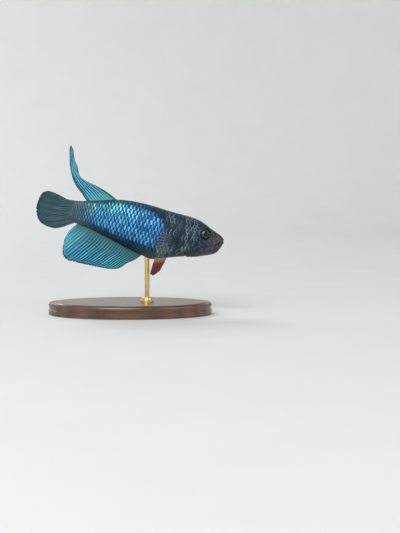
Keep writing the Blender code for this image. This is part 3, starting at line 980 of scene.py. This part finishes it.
def unwrap(mesh, u, v, last_ring):
    """The skin's own map: u aft, v round from the back, cut along the belly, without the two closed ends."""
    corners = corners_of(mesh)
    face_of = np.repeat(np.arange(len(mesh.polygons)), [face.loop_total for face in mesh.polygons])
    uv = np.stack([np.append(u, 0), np.append(v, 0)], axis=-1)[corners]
    at_seam = np.zeros(len(mesh.polygons), bool)
    at_seam[face_of[(corners % ROUND == ROUND - 1) & (corners < last_ring + ROUND)]] = True
    uv[:, 1] = np.where(at_seam[face_of] & (uv[:, 1] <= -0.499), 0.5, uv[:, 1])
    uv[face_of >= last_ring] = OFF_THE_UNWRAP
    add_map(mesh, "unwrap", uv)


def scale_size(behind):
    """How large a scale is, as a share of one on the flank."""
    return np.interp(behind, (4, 8, 12, 17, 30, 40, 48), (0.44, 0.62, 0.84, 1.0, 1.0, 0.84, 0.62))


def girth_tables():
    """For distances behind the snout: the arc from the back down one side, at shares of the unwrap's v."""
    step = 0.25
    spots = np.arange(4.0, LAST_SCALE, step)
    v = np.linspace(0, 0.5, 90)
    outline = body_points(spots[:, None], turn_angle(v)[None])
    arcs = np.array([run_of(half[:, 1:]) for half in outline])
    return lambda behind: (v, arcs[int(np.clip(round((behind - spots[0]) / step), 0, len(spots) - 1))])


def scale_courses():
    """Distances behind the snout of the courses of scales, half a pitch apart."""
    courses, at = [], FIRST_SCALE
    while at < LAST_SCALE:
        courses.append(at)
        at += SCALE_PITCH * scale_size(at) / 2
    return courses


def is_scaled(behind, up, share):
    """Whether a scale grows at a place: not on the snout, eye, throat, gill edge or pectoral root."""
    bare_snout = 4.4 + 3.4 * float(rise(0.75 - share, 0, 0.5))
    from_eye = math.hypot(behind - EYE_CENTRE[0], up - EYE_CENTRE[2])
    on_throat = behind < 12.5 and share < -0.7
    on_gill_edge = up < 3.6 and -0.14 < from_gill_edge(behind, up) < 0.95
    from_pectoral = math.hypot((behind - 14.8) / 0.9, (up + 4.0) / 1.7)
    clear = behind >= bare_snout and from_eye >= 2.3 + 0.9 * scale_size(behind) and from_pectoral > 1
    return clear and not on_throat and not on_gill_edge


def side_roots(side):
    """Roots on one side, -1 for the left and 1 for the right: behind, v of the unwrap, share of height."""
    girth = girth_tables()
    roots = []
    for course, behind in enumerate(scale_courses()):
        v, arc = girth(behind)
        size = scale_size(behind)
        pitch = ROW_PITCH * size
        for step in range(-20, 21):
            down = np.interp(0.25, v, arc) + step * pitch
            if step % 2 != course % 2 or not 0.5 * pitch < down < arc[-1] - 0.4 * pitch:
                continue
            around = np.interp(down + 1.5 * size * np.array((-1, 0, 1)), arc, v)
            tail_end = BODY_END + TAIL_BOW * (np.cos(turn_angle(around)) ** 2).min()
            up = float(body_points(behind, turn_angle(around[1]))[..., 2])
            share = float(height_share(behind, up))
            if is_scaled(behind, up, share) and behind + 0.9 * size < tail_end:
                roots.append((behind, side * around[1], share))
    return roots


def ridge_roots():
    """Roots along the back before and behind the dorsal fin, and along the belly before the anal fin."""
    roots = []
    for behind in scale_courses()[::2]:
        if 6.4 < behind < 35.0 or 46.0 < behind < 46.8:
            roots.append((behind, 0.0, 1.0))
        if 14.5 < behind < 23.0:
            roots.append((behind, -0.499, -1.0))
    return roots


def one_scale():
    """A scale in millimetres, x aft, with a round free edge, a skirt and its own coordinates."""
    rows, columns = 8, 13
    front, aft, half = 1.05, 0.86, 1.46
    v = np.linspace(-1, 1, columns)[None, :]
    u = np.linspace(0, 1, rows)[:, None]
    edge = aft * (1 - np.abs(v) ** 2.2) ** 0.62 - 0.25 * np.abs(v) ** 1.5
    start = -front * (1 - 0.3 * v**2)
    x = start + (edge - start) * u**0.75
    to_edge = edge - x
    z = 0.07 + 0.075 * x - 0.03 * bump(to_edge, 0.0, 0.1) + 0.015 * (1 - v**2)
    top = np.stack(np.broadcast_arrays(x, half * v, z), axis=-1).reshape(-1, 3)
    rim = grid_rim(rows, columns)
    skirt = top[rim] - (0, 0, 0.1)
    faces = grid_faces(rows, columns)
    low = [len(top) + k for k in range(len(rim))]
    for k in range(len(rim)):
        faces.append([rim[k], rim[k - 1], low[k - 1], low[k]])
    faces.append(low)
    piece = make_piece("one_scale", np.concatenate([top, skirt]), faces)
    local = np.stack(np.broadcast_arrays(x, half * v, to_edge), axis=-1).reshape(-1, 3)
    set_attribute(piece, "local", np.concatenate([local, local[rim]]))
    return piece


def lay_scales(name, roots, skin, scale, tree, finish, chance):
    """One piece of scales over the skin, with its bake map."""
    behind, around, share = np.array(roots).T
    count = len(roots)
    step, turn_step = 0.02, 0.002
    angle = turn_angle(around)
    aft = body_points(behind + step, angle) - body_points(behind - step, angle)
    left, right = (body_points(behind, turn_angle(around + way * turn_step)) for way in (1, -1))
    beside = left - right
    per_u = np.linalg.norm(aft, axis=-1) / (2 * step) * UNWRAP_LENGTH
    per_v = np.linalg.norm(beside, axis=-1) / (2 * turn_step)
    size = scale_size(behind) * chance.uniform(0.96, 1.05, count)
    height = size * MM * chance.uniform(0.9, 1.15, count)
    tone = np.clip(chance.normal(0.5, 0.24, count), 0, 1)
    slip = 0.045 * size * chance.normal(0, 1, (2, count))
    u = (behind + slip[0]) / UNWRAP_LENGTH
    roots_flat = np.stack([u, around + slip[1] / per_v, np.zeros(count)], axis=-1)
    seeds = make_piece(name, roots_flat, [], closed=False)
    set_attribute(seeds, "size", np.stack([size / per_u, size / per_v, height], axis=-1))
    set_attribute(seeds, "place", np.stack([u, share, tone], axis=-1))
    set_attribute(seeds, "root", roots_flat)
    piece = grown(seeds, tree, {"Skin": skin, "Scale": scale, "Finish": finish})
    add_bake_map(piece.data)
    for spare in ("size", "root"):
        piece.data.attributes.remove(piece.data.attributes[spare])
    return piece


def add_bake_map(mesh):
    """OFBake: each scale is a small patch at its root's place on the unwrap."""
    middle = np.clip(get_attribute(mesh, "root")[:, :2] + (0, 0.5), BAKE_PATCH, 1 - BAKE_PATCH)
    uv = middle + (get_attribute(mesh, "local")[:, :2] + (0.1, 0)) / 2.4 * BAKE_PATCH
    add_map(mesh, "OFBake", uv[corners_of(mesh)])


# ---- Fins ----

ANAL_BASE, DORSAL_BASE = (24.3, 46.2), (35.1, 44.7)
TAIL_BASE, TAIL_BASE_BOW, TAIL_BASE_TURN = 47.4, 1.1, 82
FIN_SINK = 0.35  # how far a fin's root lies inside the body
RAY_HALF = 0.115  # half thickness of an upright fin's ray at its root
# For each upright fin: its edges as (behind, up), how it waves (height, length, start), its rays, the depth
# of its pleats and creases, how far its rays bow and how they fork, and its colours. A tint is mixed into a
# colour of the palette from one ray to another, and an edge is a darker band along a side of the fin.
UPRIGHT_FINS = {
    "dorsal": {
        "leading": (
            (39.3, 8.0), (43.2, 9.25), (46.4, 10.15), (48.5, 11.3), (49.7, 13.9), (51.2, 16.3), (52.1, 19.0)
        ),
        "margin": ((53.2, 20.4),),
        "trailing": ((46.9, 6.0), (49.15, 8.1), (50.9, 10.75), (52.15, 13.9), (52.8, 16.4), (53.35, 19.2)),
        "wave": (-0.5, 34, 0.5),
        "rays": 10, "pleat": 0.19, "crumple": 0.34, "bow": 0.0,
        "forks": (0.45,), "spread": 0.5, "scallop": 0.02,
        "palette": {
            "Bright": srgb(122, 216, 242), "Dark": srgb(10, 74, 106), "Dark Share": -0.1,
            "Drift": srgb(94, 176, 240), "Drift Share": 0.6, "Rungs": 0.8, "Rung Count": 18.0,
            "Root": srgb(72, 148, 146), "Root Reach": 0.24, "Margin": srgb(40, 40, 52), "Margin Start": 0.92,
        },
        "tints": (("Bright", srgb(156, 240, 250), (1.0, 4.0), (8.0, 5.0)),),
        "edges": ((srgb(26, 48, 54), 1.2, -0.1), (srgb(18, 52, 74), 8.0, 9.2)),
        "ray_colours": (srgb(90, 170, 178), srgb(150, 228, 250)),
    },
    "anal": {
        "leading": ((26.6, -11.75), (28.6, -13.1), (30.2, -14.75), (31.8, -15.6)),
        "margin": (
            (33.7, -15.95), (38.0, -16.1), (43.0, -16.0), (47.2, -15.75), (49.0, -14.5), (49.6, -12.0)
        ),
        "trailing": ((47.4, -4.95), (48.7, -6.9), (49.5, -9.3)),
        "wave": (0.55, 15, 1.2),
        "rays": 26, "pleat": 0.05, "crumple": 0.0, "bow": 0.05,
        "forks": (0.8,), "spread": 0.5, "scallop": 0.022,
        "palette": {
            "Bright": srgb(112, 216, 236), "Dark": srgb(0, 50, 78), "Dark Share": 0.05,
            "Drift": srgb(48, 140, 206), "Drift Share": 0.7, "Rungs": 0.3, "Rung Count": 11.0,
            "Root": srgb(56, 92, 94), "Root Reach": 0.6, "Margin": srgb(22, 34, 78), "Margin Start": 0.9,
        },
        "tints": (("Bright", srgb(70, 204, 178), (9.0, 2.0)), ("Dark", srgb(56, 112, 126), (15.0, 24.0))),
        "edges": ((srgb(96, 28, 36), 0.2, -0.4),),
        "ray_colours": (srgb(44, 84, 92), srgb(116, 208, 226)),
    },
    "caudal": {
        "leading": ((50.4, 3.2), (52.8, 3.8), (55.4, 4.5), (57.4, 4.75)),
        "margin": ((58.9, 4.0), (59.9, 1.6), (60.15, -1.0), (59.5, -3.6), (58.0, -5.5)),
        "trailing": ((49.0, -4.6), (51.2, -5.9), (53.6, -6.6), (55.8, -6.4)),
        "wave": (0.7, 18, 0.6),
        "rays": 13, "pleat": 0.08, "crumple": 0.12, "bow": 0.0,
        "forks": (0.3, 0.62), "spread": 0.9, "scallop": 0.014,
        "palette": {
            "Bright": srgb(62, 94, 98), "Dark": srgb(30, 56, 62), "Dark Share": -0.7,
            "Drift": srgb(74, 88, 122), "Drift Share": 0.8,
            "Root": srgb(60, 78, 90), "Root Reach": 0.3, "Margin": srgb(34, 52, 60), "Margin Start": 0.86,
        },
        "tints": (),
        "edges": (),
        "ray_colours": (srgb(46, 66, 76), srgb(78, 108, 116)),
    },
}


def fin_surface(base, plan):
    """A function from (share across, share out) to points of an upright fin in the fish's axes."""
    rows, steps = 160, 80
    leading = curve_through([base[0], *plan["leading"]], steps)
    trailing = curve_through([base[-1], *plan["trailing"]], steps)
    margin = curve_through([leading[-1], *plan["margin"], trailing[-1]], rows)
    patch = patch_between(curve_through(base, rows), margin, leading, trailing)
    height, length, start = plan["wave"]

    def place(across, out):
        across, out = np.broadcast_arrays(across, out)
        bowed = across - plan["bow"] * 16 * across * (1 - across) * out * (1 - out)
        spots = patch(bowed, out)
        sway = height * out**2 * np.sin(math.tau * (spots[..., 0] - base[0][0]) / length + start)
        fold = plan["pleat"] * np.cos(math.pi * (across * plan["rays"] - 0.5)) * rise(out, 0.0, 0.35)
        creases = np.sin(20 * out + 3 * across) * np.sin(7 * out + 2.5 * across) * rise(out, 0.3, 0.7)
        return np.stack([-spots[..., 0], sway + fold + plan["crumple"] * creases, spots[..., 1]], axis=-1)

    return place


def membrane(name, place, rays, finish, scallop, half=0.05, steps=64, per_ray=8):
    """A fin's membrane between its rays, unevenly scalloped at the margin."""
    across = np.linspace(0, 1, rays * per_ray + 1)[:, None]
    out = np.linspace(0, 1, steps + 1)[None, :]
    chance = np.random.default_rng(SEED + rays)
    depth = np.interp(across * rays, np.arange(rays + 1), chance.uniform(0.35, 1.9, rays + 1))
    reached = out * (1 - scallop * depth * np.cos(math.pi * across * rays) ** 2)
    thickness = np.broadcast_to(half * (1.5 - out), reached.shape)
    stored = {"ray": across * rays - 0.5, "out": reached}
    return sheet(name, place(across, reached), thickness, finish, stored)


def ray_lines(place, rays, thick, forks, reach, spread=0.5, points=44):
    """Lines of rays that fork: for each line its points, its thickness, its share out and its ray number."""
    lines = []
    levels = [0.02, *forks, reach]
    for ray in range(rays):
        for level, (start, end) in enumerate(zip(levels, levels[1:])):
            branches = 2**level
            out = np.linspace(start, end, max(4, int(points / (level + 1))))
            opened = rise(out, start, (start + end) / 2)
            width = thick * (1 - 0.72 * out) * 0.8**level
            for branch in range(branches):
                offset = (branch + 0.5) / branches - 0.5
                parent = (branch // 2 + 0.5) / (branches / 2) - 0.5 if level else 0.0
                across = (ray + 0.5 + spread * (parent + (offset - parent) * opened)) / rays
                lines.append((place(across, out), width, out, across * rays - 0.5))
    return lines


def ray_piece(name, lines, tree, finish, sides=8):
    """One piece of rays grown along their lines."""
    ends = np.cumsum([len(spots) for spots, *_ in lines])
    edges = [(k, k + 1) for k in range(ends[-1] - 1) if k + 1 not in ends]
    spots, width, out, ray = (np.concatenate(parts) for parts in zip(*lines))
    seeds = make_piece(name, to_world(spots), [], edges=edges, closed=False)
    length = np.concatenate([run_of(line[0]) for line in lines])
    for key, values in (("thick", width * MM), ("out", out), ("length", length), ("ray", ray)):
        set_attribute(seeds, key, values)
    piece = grown(seeds, tree, {"Sides": sides, "Finish": finish})
    turn_outwards(piece.data)
    return piece


def fin_bases():
    """The line along which each upright fin leaves the body, as (behind, up)."""
    dorsal = [(behind, body_size(BACK, behind) - FIN_SINK) for behind in np.linspace(*DORSAL_BASE, 7)]
    anal = [(behind, body_size(BELLY, behind) + FIN_SINK) for behind in np.linspace(*ANAL_BASE, 9)]
    tail = []
    for angle in np.radians(np.linspace(TAIL_BASE_TURN, -TAIL_BASE_TURN, 9)):
        behind = TAIL_BASE + TAIL_BASE_BOW * math.cos(angle) ** 2
        tail.append((behind, float(body_points(behind, angle)[..., 2])))
    return {"dorsal": dorsal, "anal": anal, "caudal": tail}


def upright_fins(grow):
    """The dorsal, anal and tail fins: membranes and forked rays."""
    streaks = fin_streaks()
    for name, base in fin_bases().items():
        plan = UPRIGHT_FINS[name]
        place = fin_surface(base, plan)
        rays, scallop = plan["rays"], plan["scallop"]
        finish = fin_material(f"{name}_fin_membrane", streaks, plan)
        membrane_piece = membrane(f"{name}_fin_membrane", place, rays, finish, scallop)
        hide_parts(f"{name}_fin")
        finish = ray_material(f"{name}_fin_rays", *plan["ray_colours"], plan["edges"])
        lines = ray_lines(place, rays, RAY_HALF, plan["forks"], 1 - 1.2 * scallop, plan["spread"])
        settle("fin", membrane_piece, ray_piece(f"{name}_fin_rays", lines, grow, finish))


PECTORAL_ROOT = (14.9, -2.7, 2.5)  # behind, up, and height of the root
PECTORAL_SWEEP = math.radians(58)
PECTORAL_FAN = (math.radians(24), math.radians(-44))
PECTORAL_REACH, PECTORAL_CUP = 8.0, 1.0
PELVIC_ROOT = (16.2, 1.1, 4.0)  # behind, to the side, and length of the root
PELVIC_SPLAY = math.radians(13)
PELVIC_FAN = (math.radians(-73), math.radians(-85))
PELVIC_REACH = 6.4


def fan_points(start, root, level, fan, across, length):
    """Points of a fan whose rays leave its root level and turn from its first angle to its second."""
    angle = (fan[0] + (fan[1] - fan[0]) * across)[..., None]
    ways = np.array(level) * np.cos(angle) + np.array((0, 0, 1.0)) * np.sin(angle)
    return start + np.array(root) * across[..., None] + ways * length[..., None]


def pectoral_surface(side, rays):
    """A function from (share down the fan, share out) to points of a pectoral fin."""
    behind, top, root = PECTORAL_ROOT
    outline = body_points(behind, np.radians(np.linspace(-88, 88, 177)))
    flank = np.interp(top - root / 2, outline[:, 2], outline[:, 1])
    start = np.array((-behind, side * (flank - 0.15), top))
    outward = (-math.cos(PECTORAL_SWEEP), side * math.sin(PECTORAL_SWEEP), 0)

    def place(across, out):
        across, out = np.broadcast_arrays(across, out)
        length = PECTORAL_REACH * (0.7 + 0.3 * np.sin(math.pi * across)) * out
        spots = fan_points(start, (-0.25 * root, 0, -root), outward, PECTORAL_FAN, across, length)
        spots[..., 0] -= PECTORAL_CUP * out**2
        spots[..., 1] += side * 0.06 * np.cos(math.pi * (across * rays - 0.5)) * rise(out, 0, 0.4)
        return spots

    return place


def pelvic_surface(side, rays):
    """A function from (share aft along the root, share out) to points of a pelvic fin."""
    behind, aside, root = PELVIC_ROOT
    belly, belly_aft = body_size(BELLY, behind), body_size(BELLY, behind + root)
    start = np.array((-behind, side * aside, belly + 0.75))

    def place(across, out):
        across, out = np.broadcast_arrays(across, out)
        length = PELVIC_REACH * (0.86 + 0.14 * np.sin(math.pi * across)) * out
        spots = fan_points(start, (-root, 0, belly_aft - belly), (-1, 0, 0), PELVIC_FAN, across, length)
        fold = 0.05 * np.cos(math.pi * (across * rays - 0.5)) * out
        spots[..., 1] += side * (math.tan(PELVIC_SPLAY) * (start[2] - spots[..., 2]) + fold)
        return spots

    return place


def paired_fins(grow):
    """The clear pectoral fans and the red pelvic blades, left and right."""
    clear_rays = ray_material("pectoral_fin_rays", srgb(58, 68, 80), srgb(116, 130, 140), metal=0.0)
    red_rays = ray_material("pelvic_fin_rays", srgb(96, 40, 28), srgb(66, 8, 10), metal=0.0)
    # Each kind: number of rays, surface, the two finishes, half thicknesses of membrane and ray, and forks.
    kinds = {
        "pectoral": (11, pectoral_surface, clear_fin_material(), clear_rays, 0.03, 0.075, (0.62,)),
        "pelvic": (6, pelvic_surface, red_fin_material(), red_rays, 0.06, 0.1, (0.6,)),
    }
    for side, word in SIDES:
        for kind, (rays, surface, finish, ray_finish, half, thick, forks) in kinds.items():
            place = surface(side, rays)
            membrane_piece = membrane(f"{kind}_membrane_{word}", place, rays, finish, 0.03, half, 32, 6)
            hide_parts(f"{kind}_fin_{word}")
            lines = ray_lines(place, rays, thick, forks, 0.975, points=24)
            rays_piece = ray_piece(f"{kind}_rays_{word}", lines, grow, ray_finish, 6)
            settle(f"{kind}_fin", membrane_piece, rays_piece)


# ---- Eyes ----


def eye_dome(name, side, profile, finish):
    """A body of revolution about the eye's axis from (radius, outward) pairs, with radius and turn stored."""
    corners = 64
    lean = Matrix.Rotation(-EYE_FORWARD, 3, "Z") @ Matrix.Rotation(EYE_UPWARD, 3, "X")
    points = spun(profile, corners)[:, (0, 2, 1)] @ np.array(lean).T
    points = (points + (-EYE_CENTRE[0], EYE_CENTRE[1], EYE_CENTRE[2])) * (1, side, 1)
    piece = make_piece(name, to_world(points), spun_faces(len(profile), corners), finish)
    set_attribute(piece, "radius", np.repeat([spoke for spoke, _ in profile], corners))
    set_attribute(piece, "turn", np.tile(np.abs(np.arange(corners) / corners - 0.5) * 2, len(profile)))
    return piece


def eyes():
    """Eyeballs with a sunk iris, under clear corneas."""
    ball_finish, cornea_finish = eye_material(), cornea_material()
    across, deep = EYE_RADII
    turns = np.linspace(0.01, 1.0, 40) * math.pi / 2
    radius = across * np.sin(turns)
    iris = rise(radius, PUPIL - 0.08, PUPIL + 0.04) * (1 - rise(radius, IRIS - 0.1, IRIS + 0.15))
    sunk = 0.14 + 0.08 * iris
    ball_profile = [*zip(radius, deep * np.cos(turns) - sunk), (across * 0.8, -0.6), (across * 0.3, -0.9)]
    turns = np.linspace(0.02, 1.45, 24)
    shell = [*zip(across * 0.985 * np.sin(turns), deep * 1.02 * np.cos(turns))]
    shell += [(spoke * 0.985, depth - 0.07) for spoke, depth in reversed(shell)]
    for side, word in SIDES:
        ball = eye_dome(f"eyeball_{word}", side, ball_profile, ball_finish)
        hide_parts(f"eye_{word}")
        settle("eye", ball, eye_dome(f"cornea_{word}", side, shell, cornea_finish))


# ---- The stand ----


def stretched(tree, scale):
    """Object coordinates at a scale of their own along each axis."""
    return node(tree, "ShaderNodeMapping", {0: object_place(tree), "Scale": scale})[0]


def wood_material():
    """Dark walnut under satin lacquer: long grain, pores and slow colour bands."""
    made, tree = new_finish("dark_walnut")
    grain = stretched(tree, (60.0, 620.0, 620.0))
    inputs = {"Vector": grain, "Scale": 0.16, "Distortion": 5.0, "Detail": 4.0, "Detail Scale": 1.4}
    bands = node(tree, "ShaderNodeTexWave", inputs, bands_direction="Y")[1]
    pores = ramp(noise(stretched(tree, (240.0, 5200.0, 5200.0)), 1.0, 3.0, 0.7), 0.56, 0.72)
    colour = layered(
        srgb(46, 30, 22),
        (bands, srgb(86, 58, 40)),
        (noise(grain, 0.55, 5.0, 0.6) * 0.6, srgb(112, 78, 54)),
        (pores * 0.7, srgb(24, 15, 11)),
    )
    return dress(
        made,
        Base_Color=colour,
        Roughness=pores * 0.25 + 0.34,
        Normal=relief(1.0 - pores, 0.00003, 0.25),
        Coat_Weight=0.35,
        Coat_Roughness=0.22,
    )


def brass_material():
    """Satin brass with fine turning marks and a little tarnish."""
    made, tree = new_finish("satin_brass")
    marks = noise(stretched(tree, (400.0, 400.0, 26000.0)), 1.0, 2.0)
    return dress(
        made,
        Base_Color=mix(noise(object_place(tree), 700.0, 4.0), srgb(196, 160, 96), srgb(226, 194, 128)),
        Roughness=marks * 0.22 + 0.2,
        Normal=relief(marks, 0.000008, 0.5),
        Metallic=1.0,
    )


def arc(centre, radius, start, end, steps):
    """Points of a part circle, its angles in degrees from outwards to up."""
    turns = np.radians(np.linspace(start, end, steps))
    return [(centre[0] + radius * math.cos(turn), centre[1] + radius * math.sin(turn)) for turn in turns]


def stand():
    """The oval base with a beaded rim, the rod into the belly, and its collar."""
    wood, brass = wood_material(), brass_material()
    half_x, half_y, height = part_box("stand_base")[1] / MM
    profile = [(half_x - 1.2, 0.0), (half_x - 0.35, 0.0), (half_x, 0.35), (half_x, height - 2.35)]
    profile += [(half_x - 0.3, height - 2.15), (half_x - 0.3, height - 1.85)]
    profile += arc((half_x - 0.9, height - 0.95), 0.9, -30, 62, 7)
    profile += [(half_x - 1.0, height - 0.28), (half_x - 1.6, height - 0.3), (half_x - 2.0, height)]
    base = turned("stand_base_board", profile, 180, (0, 0, 0), wood, half_y / half_x)
    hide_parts("stand_base")
    rod_low, rod_high = (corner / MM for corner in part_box("stand_rod"))
    centre = ((rod_low.x + rod_high.x) / 2 * MM, 0, 0)
    radius = (rod_high.x - rod_low.x) / 2
    rod = turned("stand_rod_bar", [(radius, height - 0.1), (radius, rod_high.z)], 48, centre, brass)
    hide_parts("stand_rod")
    collar_low, collar_high = (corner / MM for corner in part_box("stand_collar"))
    outer, top = (collar_high.x - collar_low.x) / 2, collar_high.z
    outline = [(radius, height), (outer, height), *arc((outer - 0.12, height + 0.5), 0.12, 0, 80, 4)]
    outline += [(outer - 0.35, height + 0.66), *arc((outer - 0.75, top - 0.3), 0.3, 10, 90, 5), (radius, top)]
    collar = turned("stand_collar_ring", outline, 72, centre, brass, closed=True)
    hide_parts("stand_collar")
    settle("stand_wood", base)
    settle("stand_brass", rod, collar)


# ---- The room, lights and camera ----

ROOM_FLAT, ROOM_BEND, ROOM_WALL = 0.6, 0.4, 0.75  # metres: radius of the flat floor and the bend, and height
LIGHTS_AIM = Vector((0.0, 0.0, 0.03))
# Each light: its name, place, size, power and tint.
LIGHTS = (
    ("key", (-0.25, -0.82, 0.6), 0.66, 10.6, (1.0, 0.98, 0.95)),
    ("fill", (0.75, -0.54, 0.3), 0.5, 2.1, (0.9, 0.96, 1.0)),
    ("rim", (-0.42, 0.68, 0.66), 0.42, 3.8, (0.95, 0.98, 1.0)),
)
SKY, SKY_STRENGTH = (0.86, 0.93, 1.0, 1), 0.36
VIEW_DISTANCE, VIEW_HEIGHT, VIEW_ELEVATION = 0.4, 0.16975, math.radians(4)
AIM_FROM_SNOUT = (-0.0073, -0.0083)  # along X and up


def studio():
    """A pale round floor that sweeps up into a low wall all round, and soft lights."""
    made, tree = new_finish("studio_floor")
    mottle = noise(object_place(tree), 40.0)
    dress(made, Base_Color=mix(mottle, (0.64, 0.64, 0.63, 1), (0.68, 0.68, 0.67, 1)), Roughness=0.75)
    corners = 128
    profile = [(0.001, 0.0), (0.2, 0.0), (ROOM_FLAT, 0.0)]
    profile += arc((ROOM_FLAT, ROOM_BEND), ROOM_BEND, math.degrees(0.1) - 90, 0, 14)
    profile += [(ROOM_FLAT + ROOM_BEND, ROOM_WALL)]
    faces = [list(reversed(face)) for face in grid_faces(len(profile), corners, True)]
    faces.append(list(range(corners)))
    make_piece("studio_floor", spun(profile, corners), faces, made, closed=False)
    world = bpy.data.worlds.new("studio")
    bpy.context.scene.world = world
    world.use_nodes = True
    feed(world.node_tree.nodes["Background"], {"Color": SKY, "Strength": SKY_STRENGTH})
    for name, place, size, power, tint in LIGHTS:
        light = bpy.data.lights.new(name, "AREA")
        light.energy, light.size, light.color = power, size, tint
        lamp = show(name, light)
        lamp.location = place
        lamp.rotation_euler = (LIGHTS_AIM - Vector(place)).to_track_quat("-Z", "Y").to_euler()


def camera():
    """The view square to the right side: the fish left of the middle, a little from above."""
    aim = Vector((ORIGIN[0] + AIM_FROM_SNOUT[0], 0, ORIGIN[2] + AIM_FROM_SNOUT[1]))
    lens = bpy.data.cameras.new("camera")
    lens.sensor_fit = "VERTICAL"
    lens.angle = 2 * math.atan(VIEW_HEIGHT / 2 / VIEW_DISTANCE)
    lens.clip_start, lens.clip_end = 0.01, 10
    view = show("camera", lens)
    view.location = aim + Vector((0, -math.cos(VIEW_ELEVATION), math.sin(VIEW_ELEVATION))) * VIEW_DISTANCE
    view.rotation_euler = (math.pi / 2 - VIEW_ELEVATION, 0, 0)
    bpy.context.scene.camera = view


# ---- All together ----


def body():
    """The skin and its coat of scales."""
    markings = betta_markings()
    skin = build_skin(skin_material(markings))
    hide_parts("head", "lower_jaw", "gill_cover_left", "gill_cover_right", "trunk", "tail")
    settle("head_skin", skin)
    chance = np.random.default_rng(SEED)
    scale, lay, finish = one_scale(), scale_tree(), scale_material(markings)
    for name, roots in (("left", side_roots(-1)), ("right", side_roots(1)), ("ridge", ridge_roots())):
        settle("scaled_skin", lay_scales(f"scales_{name}", roots, skin, scale, lay, finish, chance))
    bpy.data.objects.remove(scale)


def main():
    bpy.context.scene.view_settings.view_transform = "Standard"
    body()
    grow = ray_tree()
    upright_fins(grow)
    paired_fins(grow)
    eyes()
    stand()
    studio()
    camera()


main()
